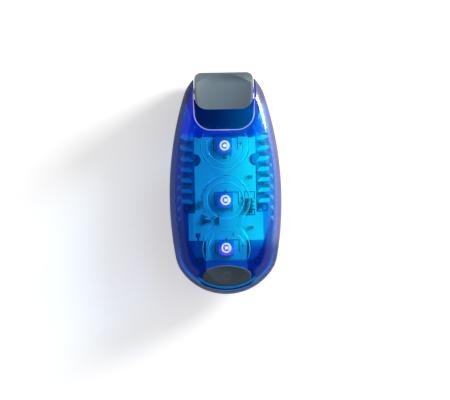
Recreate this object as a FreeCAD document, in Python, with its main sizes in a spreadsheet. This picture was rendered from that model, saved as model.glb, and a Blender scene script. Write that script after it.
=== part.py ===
import FreeCAD, Part
import Sketcher
import math
import os

# A clip-on light: a translucent case of two shells with a board, three LEDs and a coin battery,
# a sprung clip lever that wraps round one end, and a push button at the other.
# Millimetres. Z is up out of the front face, Y runs towards the clip's tab, and the light lies on
# the clip's arm. The origin is on that surface, under the middle of the whole light.

V = FreeCAD.Vector

doc = FreeCAD.newDocument("clip_on_light")
sheet = doc.addObject("Spreadsheet::Sheet", "size")

SIZES = (
    # the case seen from the front
    ("width", 37.0),
    ("half_length", 36.6),
    ("widest_below", 4.6),
    ("end_radius", 14.0),
    ("end_setback", 11.54),
    ("bottom_easing", 0.3),
    ("corner_radius", 12.0),
    # the case seen from the side
    ("arm_thickness", 2.2),
    ("jaw_gap", 5.6),
    ("rear_depth", 5.6),
    ("cover_depth", 9.6),
    ("wall", 1.8),
    ("floor", 1.6),
    ("shoulder_radius", 5.5),
    ("back_edge_radius", 3.0),
    ("crown_radius", 190.0),
    ("cross_radius", 110.0),
    ("crown_below", 4.0),
    # the scooped recess in front of the tab
    ("recess_length", 13.1),
    ("recess_width", 20.0),
    ("recess_low_width", 18.9),
    ("recess_shoulder", 2.5),
    ("recess_corner", 5.5),
    ("recess_rim_slack", 1.3),
    ("recess_centre_over", 0.5),
    ("recess_floor_rise", 1.0),
    ("recess_rim_radius", 0.5),
    # the pivot and its spring
    ("pivot_setback", 5.6),
    ("pin_radius", 1.0),
    ("pin_half_length", 11.9),
    ("pin_play", 0.05),
    ("pin_end_bevel", 0.2),
    ("knuckle_inner", 5.0),
    ("wire", 0.8),
    ("coil_radius", 2.2),
    ("coil_turns", 3.5),
    ("coil_pitch", 1.3),
    ("coil_clearance", 0.3),
    ("fixed_leg", 3.6),
    ("lever_leg", 5.4),
    # the clip lever
    ("tab_width", 19.3),
    ("tab_length", 12.1),
    ("tab_rise", 1.6),
    ("tab_lip_drop", 0.5),
    ("tab_arch", 22.0),
    ("tab_slope_run", 3.5),
    ("tab_slope_drop", 3.0),
    ("lip_thickness", 2.8),
    ("tab_underside_fall", 0.4),
    ("tab_inner_corner", 3.7),
    ("lip_corner", 4.2),
    ("tab_dish_radius", 21.0),
    ("tab_dish_sag", 1.8),
    ("tab_dish_arch", 30.0),
    ("tab_dish_setback", 7.4),
    ("hook_corner", 2.2),
    ("hook_bend", 5.0),
    ("arm_tip_width", 16.0),
    ("arm_tip_corner", 5.0),
    ("arm_reach", 27.3),
    ("rest_flat_end", 12.0),
    ("jaw_ramp_start", 8.0),
    ("jaw_pad_near", 18.8),
    ("jaw_pad_far", 22.8),
    ("jaw_clearance", 0.3),
    ("jaw_flare_drop", 2.6),
    ("arm_tip_rise", 3.4),
    ("jaw_groove", 0.8),
    # the button, its collar and switch
    ("button_setback", 6.2),
    ("button_length", 16.0),
    ("button_width", 6.6),
    ("button_end_radius", 2.0),
    ("button_proud", 0.25),
    ("button_play", 0.15),
    ("button_travel", 0.5),
    ("button_dish_radius", 40.0),
    ("button_dish_depth", 0.5),
    ("button_edge", 0.35),
    ("collar_wall", 1.25),
    ("collar_proud", 0.35),
    ("collar_depth", 2.9),
    ("flange_over", 0.4),
    ("flange_width", 1.2),
    ("flange_shift", 1.4),
    ("flange_thickness", 0.8),
    ("flange_gap", 0.1),
    ("switch_length", 4.4),
    ("switch_width", 3.6),
    ("stem_length", 0.4),
    ("stem_radius", 1.6),
    ("plunger_radius", 0.9),
    ("plunger_show", 0.65),
    ("plunger_sunk", 0.5),
    ("plunger_play", 0.1),
    ("switch_setback", 6.6),
    # the board
    ("board_thickness", 1.0),
    ("board_rise", 0.6),
    ("board_top_y", 15.4),
    ("board_width", 20.2),
    ("board_wide", 24.6),
    ("board_wide_top", 9.6),
    ("board_wide_low", 18.7),
    ("tongue_width", 13.4),
    ("tongue_setback", 4.4),
    ("notch_y", 7.9),
    ("notch_width", 4.1),
    ("notch_reach", 8.0),
    ("test_hole_x", -9.3),
    ("test_hole_inset", 1.7),
    ("test_hole_radius", 0.85),
    ("test_slot_width", 0.7),
    # locating pins of the cover
    ("upper_pin_x", 8.4),
    ("upper_pin_y", 17.0),
    ("waist_pin_x", 12.6),
    ("waist_pin_y", -7.9),
    ("lower_pin_left", 8.8),
    ("lower_pin_right", 10.1),
    ("lower_pin_y", -25.4),
    ("locator_radius", 1.45),
    ("spigot_radius", 0.75),
    ("spigot_length", 2.6),
    ("spigot_play", 0.05),
    ("boss_wall", 0.55),
    ("locator_gap", 0.45),
    ("spare_boss_x", 10.4),
    ("spare_boss_y", -20.3),
    ("spare_boss_radius", 1.5),
    ("spare_boss_drop", 1.2),
    # LEDs
    ("led_1_y", 12.6),
    ("led_2_y", -5.4),
    ("led_3_y", -21.2),
    ("led_width", 5.0),
    ("led_height", 1.4),
    ("led_cup_radius", 1.7),
    ("led_cup_depth", 0.8),
    ("led_chip_width", 0.9),
    ("led_chip_height", 0.15),
    ("led_lens_gap", 0.05),
    ("led_lens_rise", 0.3),
    # lens rings and prisms of the cover
    ("lens_ring_radius", 8.26),
    ("lens_ring_wall", 0.9),
    ("lens_ring_depth", 1.0),
    ("lens_waist_radius", 2.2),
    ("lens_step_radius", 6.2),
    ("lens_step_wall", 0.7),
    ("lens_step_depth", 0.7),
    ("lens_draft", 15.0),
    ("prism_count", 7),
    ("prism_pitch", 3.45),
    ("prism_first_y", 15.7),
    ("prism_inner", 10.1),
    ("prism_outer", 14.3),
    ("prism_depth", 2.0),
    ("prism_hip", 1.6),
    ("prism_root", 0.25),
    ("bar_count", 9),
    ("bar_x", 15.45),
    ("bar_width", 0.8),
    ("bar_length", 2.4),
    ("bar_depth", 0.7),
    ("bar_slant", 35.0),
    # the seal between the shells
    ("seal_setback", 0.5),
    ("seal_width", 0.8),
    ("seal_height", 0.55),
    ("seal_play", 0.05),
    # the battery, its housing, contacts and cover
    ("battery_y", 2.0),
    ("battery_radius", 10.0),
    ("battery_height", 3.2),
    ("battery_cap_radius", 8.8),
    ("battery_cap_height", 0.4),
    ("battery_play", 0.3),
    ("housing_wall", 1.05),
    ("flange_margin", 0.7),
    ("cover_flange", 0.9),
    ("cover_flange_play", 0.2),
    ("plug_play", 0.1),
    ("lug_reach", 0.8),
    ("lug_width", 4.0),
    ("lug_thickness", 0.5),
    ("lug_play", 0.15),
    ("lug_seat", 0.7),
    ("lug_turn", 60.0),
    ("coin_slot_length", 14.0),
    ("coin_slot_width", 2.0),
    ("coin_slot_depth", 0.7),
    ("ring_seal_margin", 0.85),
    ("ring_seal_width", 0.7),
    ("ring_seal_groove", 0.45),
    # small parts on the board
    ("chip_x", 7.6),
    ("chip_y", -7.4),
    ("chip_width", 2.4),
    ("chip_length", 4.9),
    ("chip_height", 1.0),
    ("lead_width", 0.4),
    ("lead_pitch", 1.27),
    ("lead_reach", 0.6),
    ("resistor_length", 1.6),
    ("resistor_width", 0.8),
    ("resistor_height", 0.5),
    ("resistor_x", 8.2),
    ("resistor_1_y", -14.6),
    ("resistor_2_y", 2.2),
    ("capacitor_length", 2.0),
    ("capacitor_width", 1.25),
    ("capacitor_height", 1.2),
    ("capacitor_x", -8.0),
    ("capacitor_y", -6.6),
    ("joint_radius", 0.7),
    ("joint_height", 0.35),
    ("bow_x", -5.0),
    ("bow_y", -11.8),
    ("bow_length", 5.6),
    ("bow_width", 3.6),
    ("bow_waist", 1.1),
    ("contact_thickness", 0.2),
    ("contact_width", 3.0),
)

for row, (alias, number) in enumerate(SIZES, 1):
    sheet.set("A%d" % row, str(number))
    sheet.setAlias("A%d" % row, alias)
doc.recompute()


def value(expression):
    """The number that an expression on the sheet gives."""
    return float(sheet.evalExpression(expression))


# Levels and places that several pieces share, as expressions on the sheet
BACK = "(size.arm_thickness + size.jaw_gap)"
PARTING = f"({BACK} + size.rear_depth)"
CROWN = f"({PARTING} + size.cover_depth)"
PIVOT_Y = "(size.half_length - size.pivot_setback)"
PIVOT_Z = f"({PARTING} - size.pin_radius - size.pin_play)"
END_WALL = f"({PIVOT_Y} - size.coil_radius - size.wire / 2 - size.coil_clearance)"
ROOM_END = f"({END_WALL} - size.wall)"
RECESS_LOW = f"({PIVOT_Y} - size.recess_length)"
BOARD_LOW = f"({PARTING} + size.board_rise)"
BOARD_TOP = f"({BOARD_LOW} + size.board_thickness)"
PLUG_TOP = f"({BACK} + size.cover_flange + size.lug_seat + size.lug_thickness + 2 * size.lug_play)"
COIL_REACH = "(size.coil_radius + size.wire / 2)"
HOOK_INNER = f"({PIVOT_Y} + {COIL_REACH} + size.coil_clearance)"
BORE = "(size.battery_radius + size.battery_play)"
TRACK = f"({BORE} - size.plug_play + size.lug_reach + size.lug_play)"
HOUSING = f"({TRACK} + size.housing_wall)"
FLANGE = f"({HOUSING} + size.flange_margin)"
RING_SEAL = f"({TRACK} + size.ring_seal_margin)"
BATTERY_Y = "(0 - size.battery_y)"
LED_PLACES = ("size.led_1_y", "size.led_2_y", "size.led_3_y")

# The cover's locating pins: two by the recess, two at the waist, two by the button
LOCATORS = (("upper_left", "-size.upper_pin_x", "size.upper_pin_y"),
            ("upper_right", "size.upper_pin_x", "size.upper_pin_y"),
            ("waist_left", "-size.waist_pin_x", "size.waist_pin_y"),
            ("waist_right", "size.waist_pin_x", "size.waist_pin_y"),
            ("lower_left", "-size.lower_pin_left", "size.lower_pin_y"),
            ("lower_right", "size.lower_pin_right", "size.lower_pin_y"))


def crown_height(y, x="0"):
    """The height of the crowned front over a point of the plan."""
    arm = ("(size.cross_radius - size.crown_radius"
           f" + sqrt(size.crown_radius ^ 2 - ({y} + size.crown_below) ^ 2))")
    return f"({CROWN} - size.cross_radius + sqrt({arm} ^ 2 - ({x}) ^ 2))"


BUTTON_Y = "(size.button_setback - size.half_length)"
COLLAR_LOW = f"({crown_height(BUTTON_Y)} - size.collar_depth)"
FLANGE_LOW = f"({COLLAR_LOW} - size.flange_gap - size.flange_thickness)"
PLUNGER_TOP = f"({FLANGE_LOW} - size.stem_length)"
SWITCH_TOP = f"({PLUNGER_TOP} - size.plunger_show)"
SWITCH_Y = "(size.switch_setback - size.half_length)"


def origin_plane(body, role):
    return next(plane for plane in body.Origin.OriginFeatures if plane.Role == role)


def new_body(name):
    return doc.addObject("PartDesign::Body", name)


def new_sketch(body, name, role, **offset):
    """A sketch on one of the body's origin planes, moved by expressions in the plane's own axes."""
    sketch = body.newObject("Sketcher::SketchObject", name)
    sketch.AttachmentSupport = [(origin_plane(body, role), "")]
    sketch.MapMode = "FlatFace"
    for axis, expression in offset.items():
        sketch.setExpression(f"AttachmentOffset.Base.{axis}", expression)
    return sketch


def bind(sketch, kind, name, expression, *where):
    """Adds a constraint whose size follows the sheet."""
    index = sketch.addConstraint(Sketcher.Constraint(kind, *where, value(expression)))
    sketch.renameConstraint(index, name)
    sketch.setExpression(f".Constraints.{name}", expression)


def arc_between(start, stop, centre, radius):
    """The part of a circle that runs anticlockwise from start to stop."""
    first = math.atan2(start[1] - centre[1], start[0] - centre[0])
    last = math.atan2(stop[1] - centre[1], stop[0] - centre[0])
    return Part.ArcOfCircle(Part.Circle(V(*centre, 0), V(0, 0, 1), radius), first, last)


def draw_loop(sketch, corners, arcs=None):
    """A closed loop through corners; arcs gives a side its radius and the way that it bends."""
    arcs = arcs or {}
    points = [(value(x), value(y)) for x, y in corners]
    first = sketch.GeometryCount
    ends = []
    for side, start in enumerate(points):
        stop = points[(side + 1) % len(points)]
        if side not in arcs:
            sketch.addGeometry(Part.LineSegment(V(*start, 0), V(*stop, 0)))
            ends.append((1, 2))
            continue
        radius, bend = arcs[side]
        chord = V(stop[0] - start[0], stop[1] - start[1], 0)
        rise = math.sqrt(value(radius) ** 2 - chord.Length ** 2 / 4)
        way = rise / chord.Length * (1 if bend == "left" else -1)
        centre = ((start[0] + stop[0]) / 2 - chord.y * way, (start[1] + stop[1]) / 2 + chord.x * way)
        if bend == "left":
            sketch.addGeometry(arc_between(start, stop, centre, value(radius)))
            ends.append((1, 2))
        else:
            sketch.addGeometry(arc_between(stop, start, centre, value(radius)))
            ends.append((2, 1))
        bind(sketch, "Radius", f"radius_{first + side}", radius, first + side)
    for side, (x, y) in enumerate(corners):
        edge = first + side
        after = first + (side + 1) % len(points)
        join = Sketcher.Constraint("Coincident", edge, ends[side][1], after, ends[after - first][0])
        sketch.addConstraint(join)
        bind(sketch, "DistanceX", f"x_{edge}", x, -1, 1, edge, ends[side][0])
        bind(sketch, "DistanceY", f"y_{edge}", y, -1, 1, edge, ends[side][0])


def pad(body, sketch, length, both_ways=False):
    feature = body.newObject("PartDesign::Pad", f"{sketch.Name}_pad")
    feature.Profile = sketch
    feature.setExpression("Length", length)
    feature.Midplane = both_ways
    return feature


def padded_loop(name, role, corners, arcs, length, both_ways=False, **offset):
    """A body made by padding one closed loop."""
    body = new_body(name)
    sketch = new_sketch(body, f"{name}_loop", role, **offset)
    draw_loop(sketch, corners, arcs)
    pad(body, sketch, length, both_ways)
    return body


TURNS = {
    "z": FreeCAD.Rotation(),
    "x": FreeCAD.Rotation(V(0, 1, 0), 90),
    "ridge_down": FreeCAD.Rotation(V(1, 0, 0), -90),
}


def place(thing, x, y, z, axis="z"):
    thing.Placement = FreeCAD.Placement(V(0, 0, 0), TURNS[axis])
    for letter, expression in (("x", x), ("y", y), ("z", z)):
        thing.setExpression(f"Placement.Base.{letter}", expression)
    return thing


def cylinder(name, radius, height, x, y, z, axis="z"):
    """A cylinder that rises from a point; along X it is centred on the point."""
    thing = doc.addObject("Part::Cylinder", name)
    thing.setExpression("Radius", radius)
    thing.setExpression("Height", height)
    if axis == "x":
        x = f"{x} - ({height}) / 2"
    return place(thing, x, y, z, axis)


def box(name, dx, dy, dz, x, y, z):
    """A box that rises from z, centred on x and y."""
    thing = doc.addObject("Part::Box", name)
    thing.setExpression("Length", dx)
    thing.setExpression("Width", dy)
    thing.setExpression("Height", dz)
    return place(thing, f"{x} - ({dx}) / 2", f"{y} - ({dy}) / 2", z)


def fuse(name, *shapes):
    thing = doc.addObject("Part::MultiFuse", name)
    thing.Shapes = list(shapes)
    return thing


def cut(name, base, *tools):
    thing = doc.addObject("Part::Cut", name)
    thing.Base = base
    thing.Tool = tools[0] if len(tools) == 1 else fuse(f"{name}_tools", *tools)
    return thing


def common(name, first, second):
    thing = doc.addObject("Part::Common", name)
    thing.Base = first
    thing.Tool = second
    return thing


def group(name, *solids):
    """Separate solids of one kind, kept as one piece of the model."""
    thing = doc.addObject("Part::Compound", name)
    thing.Links = list(solids)
    return thing


def is_upright(edge):
    box = edge.BoundBox
    return box.ZLength > 0.3 and box.XLength + box.YLength < 0.01


def round_uprights(body, name, radius, wanted):
    """A fillet in the body on those of its upright edges whose bounding box wanted picks."""
    doc.recompute()
    base = body.Tip
    edges = [f"Edge{i}" for i, edge in enumerate(base.Shape.Edges, 1)
             if is_upright(edge) and wanted(edge.BoundBox)]
    thing = body.newObject("PartDesign::Fillet", name)
    thing.Base = (base, edges)
    thing.setExpression("Radius", radius)


def round_edges(name, base, radius, wanted):
    """A fillet on the edges that wanted picks by where they lie."""
    doc.recompute()
    thing = doc.addObject("Part::Fillet", name)
    thing.Base = base
    size = value(radius)
    picked = [i for i, edge in enumerate(base.Shape.Edges, 1) if wanted(edge)]
    thing.Edges = [(i, size, size) for i in picked]
    print(name, "rounds", len(picked), "edges")
    return thing


# The outline of the case
# Two long side arcs, a smaller arc at the tab end, a rounder bottom end and two corner arcs
SIDE_HEIGHT = "(size.half_length - size.end_setback + size.widest_below)"
SIDE_RADIUS = (f"(((size.width / 2) ^ 2 - size.end_radius ^ 2 + {SIDE_HEIGHT} ^ 2)"
               " / (size.width - 2 * size.end_radius))")
BOTTOM_RADIUS = "(size.width / 2 - size.bottom_easing)"
BOTTOM_CENTRE = f"({BOTTOM_RADIUS} - size.half_length)"


def corner_centre():
    """The centre of the right corner arc, which touches the side and the bottom arc inside."""
    side = V(value(f"size.width / 2 - {SIDE_RADIUS}"), value("-size.widest_below"), 0)
    bottom = V(0, value(BOTTOM_CENTRE), 0)
    to_side = value(f"{SIDE_RADIUS} - size.corner_radius")
    to_bottom = value(f"{BOTTOM_RADIUS} - size.corner_radius")
    line = bottom - side
    along = (to_side ** 2 - to_bottom ** 2 + line.Length ** 2) / (2 * line.Length)
    across = math.sqrt(to_side ** 2 - along ** 2)
    line.normalize()
    return side + line * along + V(line.y, -line.x, 0) * across


def outline(name, inset, z, height, end=None):
    """A prism on the case's outline, drawn in by inset; end cuts its tab side off straight."""
    body = new_body(name)
    sketch = new_sketch(body, f"{name}_loop", "XY_Plane", z=z)
    gap = value(inset)
    side_radius = value(SIDE_RADIUS)
    side = (value("size.width / 2") - side_radius, value("-size.widest_below"))
    bottom = (0, value(BOTTOM_CENTRE))
    corner = corner_centre()
    tip = (0, value("size.half_length - size.end_setback"))

    def mirrored(point):
        return (-point[0], point[1])

    def along(start, through, radius):
        """The point at radius from start on the line from start through another point."""
        line = V(through[0] - start[0], through[1] - start[1], 0)
        line.normalize()
        return (start[0] + line.x * radius, start[1] + line.y * radius)

    side_low = along(side, corner, side_radius - gap)
    corner_low = along(bottom, corner, value(BOTTOM_RADIUS) - gap)
    if end:
        side_high = (side[0] + math.sqrt((side_radius - gap) ** 2 - (value(end) - side[1]) ** 2), value(end))
        top = Part.LineSegment(V(*side_high, 0), V(*mirrored(side_high), 0))
    else:
        side_high = along(side, tip, side_radius - gap)
        top = arc_between(side_high, mirrored(side_high), tip, value("size.end_radius") - gap)
    corner_radius = value("size.corner_radius") - gap
    sketch.addGeometry(arc_between(side_low, side_high, side, side_radius - gap))
    sketch.addGeometry(top)
    sketch.addGeometry(arc_between(mirrored(side_high), mirrored(side_low), mirrored(side),
                                   side_radius - gap))
    sketch.addGeometry(arc_between(mirrored(side_low), mirrored(corner_low), mirrored(corner), corner_radius))
    sketch.addGeometry(arc_between(mirrored(corner_low), corner_low, bottom, value(BOTTOM_RADIUS) - gap))
    sketch.addGeometry(arc_between(corner_low, side_low, (corner.x, corner.y), corner_radius))
    for here, after in ((2, 3), (3, 4), (4, 5), (5, 0)):
        sketch.addConstraint(Sketcher.Constraint("Tangent", here, 2, after, 1))
    join = "Coincident" if end else "Tangent"
    sketch.addConstraint(Sketcher.Constraint(join, 0, 2, 1, 1))
    sketch.addConstraint(Sketcher.Constraint(join, 1, 2, 2, 1))
    if end:
        sketch.addConstraint(Sketcher.Constraint("Horizontal", 1))
        bind(sketch, "DistanceY", "end", end, -1, 1, 1, 1)
    else:
        bind(sketch, "Radius", "end_radius", f"size.end_radius - {inset}", 1)
    bind(sketch, "Radius", "side_radius_right", f"{SIDE_RADIUS} - {inset}", 0)
    bind(sketch, "Radius", "side_radius_left", f"{SIDE_RADIUS} - {inset}", 2)
    bind(sketch, "Radius", "corner_radius_left", f"size.corner_radius - {inset}", 3)
    bind(sketch, "Radius", "bottom_radius", f"{BOTTOM_RADIUS} - {inset}", 4)
    bind(sketch, "Radius", "corner_radius_right", f"size.corner_radius - {inset}", 5)
    bind(sketch, "DistanceX", "right_x", f"size.width / 2 - {SIDE_RADIUS}", -1, 1, 0, 3)
    bind(sketch, "DistanceY", "right_y", "-size.widest_below", -1, 1, 0, 3)
    bind(sketch, "DistanceX", "left_x", f"{SIDE_RADIUS} - size.width / 2", -1, 1, 2, 3)
    bind(sketch, "DistanceY", "left_y", "-size.widest_below", -1, 1, 2, 3)
    bind(sketch, "DistanceX", "bottom_x", "0", -1, 1, 4, 3)
    bind(sketch, "DistanceY", "bottom_y", BOTTOM_CENTRE, -1, 1, 4, 3)
    pad(body, sketch, height)
    return body


def barrel(name, drop):
    """The crowned front: a long arc turned about a line far below, both lowered by drop."""
    body = new_body(name)
    sketch = new_sketch(body, f"{name}_loop", "YZ_Plane", y=f"{CROWN} - size.cross_radius")
    reach = "(size.half_length + size.shoulder_radius)"

    def height(y):
        return ("size.cross_radius - size.crown_radius + sqrt((size.crown_radius - (" + drop
                + f")) ^ 2 - ({y} + size.crown_below) ^ 2)")

    corners = ((f"-{reach}", "0"), (reach, "0"), (reach, height(reach)), (f"-{reach}", height(f"-{reach}")))
    draw_loop(sketch, corners, {2: (f"size.crown_radius - ({drop})", "left")})
    turned = body.newObject("PartDesign::Revolution", f"{name}_turned")
    turned.Profile = sketch
    turned.ReferenceAxis = (sketch, ["H_Axis"])
    turned.Midplane = True
    turned.Angle = 180
    return body


def recess(name, grow):
    """The scoop in front of the tab and the gap for the lever's hook, grown by grow all round."""
    half = f"(size.recess_width / 2 + {grow})"
    low_half = f"(size.recess_low_width / 2 + {grow})"
    low = f"({RECESS_LOW} - {grow})"
    shoulder = f"({PIVOT_Y} - size.recess_shoulder)"
    beyond = "(size.half_length + size.end_radius)"
    plan = new_body(f"{name}_plan")
    sketch = new_sketch(plan, f"{name}_plan_loop", "XY_Plane")
    draw_loop(sketch, ((f"-{low_half}", low), (low_half, low), (half, shoulder), (half, beyond),
                       (f"-{half}", beyond), (f"-{half}", shoulder)))
    pad(plan, sketch, f"{CROWN} + size.shoulder_radius")
    low_line = value(low)
    round_uprights(plan, f"{name}_plan_corners", f"size.recess_corner + {grow}",
                   lambda box: box.YMax < low_line + 0.01)
    centre_y = f"({END_WALL} + size.recess_centre_over)"
    radius = f"({centre_y} - {RECESS_LOW} + size.recess_rim_slack)"
    centre_z = (f"({PARTING} + size.recess_floor_rise"
                f" + sqrt({radius} ^ 2 - size.recess_centre_over ^ 2))")
    reach = f"({radius} + {grow})"
    wall = f"({END_WALL} - {grow})"
    wall_top = f"({centre_z} - sqrt({reach} ^ 2 - ({wall} - {centre_y}) ^ 2))"
    rim = f"({centre_z} - sqrt({reach} ^ 2 - ({low} - {centre_y}) ^ 2))"
    above = f"({CROWN} + size.shoulder_radius)"
    profile = padded_loop(f"{name}_profile", "YZ_Plane",
                          ((low, above), (low, rim), (wall, wall_top), (wall, "0"), (beyond, "0"),
                           (beyond, above)),
                          {1: (reach, "left")}, f"2 * {half} + 2", both_ways=True)
    return common(name, plan, profile)


def oval(name, length, width, end_radius, z, height):
    """A prism on an oval of four tangent arcs about the button's centre."""
    body = new_body(name)
    sketch = new_sketch(body, f"{name}_loop", "XY_Plane", y=BUTTON_Y, z=z)
    half, side, tip = (f"(({length}) / 2)", f"(({width}) / 2)", f"({end_radius})")
    flank = f"((({half} - {tip}) ^ 2 + {side} ^ 2 - {tip} ^ 2) / (2 * ({side} - {tip})))"
    a, b, c, d = (value(half), value(side), value(tip), value(flank))
    centre = (a - c, 0)
    upper = (0, b - d)
    line = V(centre[0] - upper[0], centre[1] - upper[1], 0)
    line.normalize()
    touch = (upper[0] + line.x * d, upper[1] + line.y * d)
    corners = (touch, (-touch[0], touch[1]), (-touch[0], -touch[1]), (touch[0], -touch[1]))
    sketch.addGeometry(arc_between(corners[0], corners[1], upper, d))
    sketch.addGeometry(arc_between(corners[1], corners[2], (-centre[0], 0), c))
    sketch.addGeometry(arc_between(corners[2], corners[3], (0, -upper[1]), d))
    sketch.addGeometry(arc_between(corners[3], corners[0], centre, c))
    for here, after in ((0, 1), (1, 2), (2, 3), (3, 0)):
        sketch.addConstraint(Sketcher.Constraint("Tangent", here, 2, after, 1))
    bind(sketch, "Radius", "right_radius", tip, 3)
    bind(sketch, "Radius", "left_radius", tip, 1)
    bind(sketch, "DistanceX", "right_x", f"{half} - {tip}", -1, 1, 3, 3)
    bind(sketch, "DistanceY", "right_y", "0", -1, 1, 3, 3)
    bind(sketch, "DistanceX", "left_x", f"{tip} - {half}", -1, 1, 1, 3)
    bind(sketch, "DistanceY", "left_y", "0", -1, 1, 1, 3)
    bind(sketch, "Radius", "upper_radius", flank, 0)
    bind(sketch, "Radius", "lower_radius", flank, 2)
    pad(body, sketch, height)
    return body


# How much a drafted wall's face moves outwards between the foot of the shoulder and the cover's
# underside, and between the foot of the shoulder and the crown
DRAFT_TO_UNDERSIDE = "((size.shoulder_radius - size.wall) * tan(size.lens_draft))"
DRAFT_TO_CROWN = "(size.shoulder_radius * tan(size.lens_draft))"


def cone(name, low_radius, high_radius, height, x, y, z):
    thing = doc.addObject("Part::Cone", name)
    thing.setExpression("Radius1", low_radius)
    thing.setExpression("Radius2", high_radius)
    thing.setExpression("Height", height)
    return place(thing, x, y, z)


def lens_wall(name, radius, wall, y):
    """A drafted ring wall round one LED, as tall as the shoulder and trimmed later."""
    low = f"({CROWN} - size.shoulder_radius)"
    outer_low = f"({radius} - {DRAFT_TO_UNDERSIDE})"
    inner_low = f"({radius} - {wall} + {DRAFT_TO_UNDERSIDE})"
    outer = cone(f"{name}_outer", outer_low, f"({outer_low} + {DRAFT_TO_CROWN})", "size.shoulder_radius",
                 "0", y, low)
    inner = cone(f"{name}_inner", inner_low, f"({inner_low} - {DRAFT_TO_CROWN})", "size.shoulder_radius",
                 "0", y, low)
    return cut(name, outer, inner)


def hourglass(name, radius, waist, upper, lower, draft):
    """A drafted prism on two circles joined by a waist arc on each side."""
    apart = f"(({upper} - {lower}) / 2)"
    middle = f"(({upper} + {lower}) / 2)"
    both = f"({radius} + {waist})"
    touch_x = f"({radius} * sqrt({both} ^ 2 - {apart} ^ 2) / {both})"
    touch_y = f"({apart} * {waist} / {both})"
    corners = (("0", f"{upper} + {radius}"), (f"(0 - {touch_x})", f"{middle} + {touch_y}"),
               (f"(0 - {touch_x})", f"{middle} - {touch_y}"), ("0", f"{lower} - {radius}"),
               (touch_x, f"{middle} - {touch_y}"), (touch_x, f"{middle} + {touch_y}"))
    arcs = {side: (radius, "left") for side in (0, 2, 3, 5)}
    arcs.update({side: (waist, "right") for side in (1, 4)})
    body = padded_loop(name, "XY_Plane", corners, arcs, "size.shoulder_radius",
                       z=f"({CROWN} - size.shoulder_radius)")
    body.Tip.setExpression("TaperAngle", draft)
    return body


def prism(name, side, y):
    """One hip-roofed prism under the cover's shoulder, ridge downwards and along X."""
    thing = doc.addObject("Part::Wedge", name)
    span = "(size.prism_outer - size.prism_inner)"
    sides = (("Xmin", "Xmax", "X2min", "X2max") if side > 0 else ("Xmax", "Xmin", "X2max", "X2min"))
    near, far, ridge_near, ridge_far = sides
    sign = "" if side > 0 else "-"
    thing.setExpression(near, "0")
    thing.setExpression(far, f"{sign}{span}")
    thing.setExpression(ridge_near, f"{sign}size.prism_hip")
    thing.setExpression(ridge_far, f"{sign}{span}")
    thing.setExpression("Ymin", "0")
    thing.setExpression("Ymax", "size.prism_depth + size.prism_root")
    thing.setExpression("Zmin", "-size.prism_pitch / 2")
    thing.setExpression("Zmax", "size.prism_pitch / 2")
    thing.setExpression("Z2min", "0")
    thing.setExpression("Z2max", "0")
    place(thing, f"{sign}size.prism_inner", y,
          f"{crown_height(y, 'size.prism_inner')} - size.wall + size.prism_root", "ridge_down")
    return thing


def slanted_bar(name, side, y):
    """A short rib under the shoulder, outside a prism, turned about its own middle."""
    bar = box(f"{name}_block", "size.bar_width", "size.bar_length", "size.shoulder_radius", "0", "0", "0")
    turned = group(name, bar)
    turned.setExpression("Placement.Rotation.Angle", f"{'' if side > 0 else '-'}size.bar_slant")
    edge_z = f"({crown_height(y, 'size.bar_x')} - size.wall - size.bar_depth)"
    for letter, expression in (("x", f"{'' if side > 0 else '-'}size.bar_x"), ("y", y), ("z", edge_z)):
        turned.setExpression(f"Placement.Base.{letter}", expression)
    return turned


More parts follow.
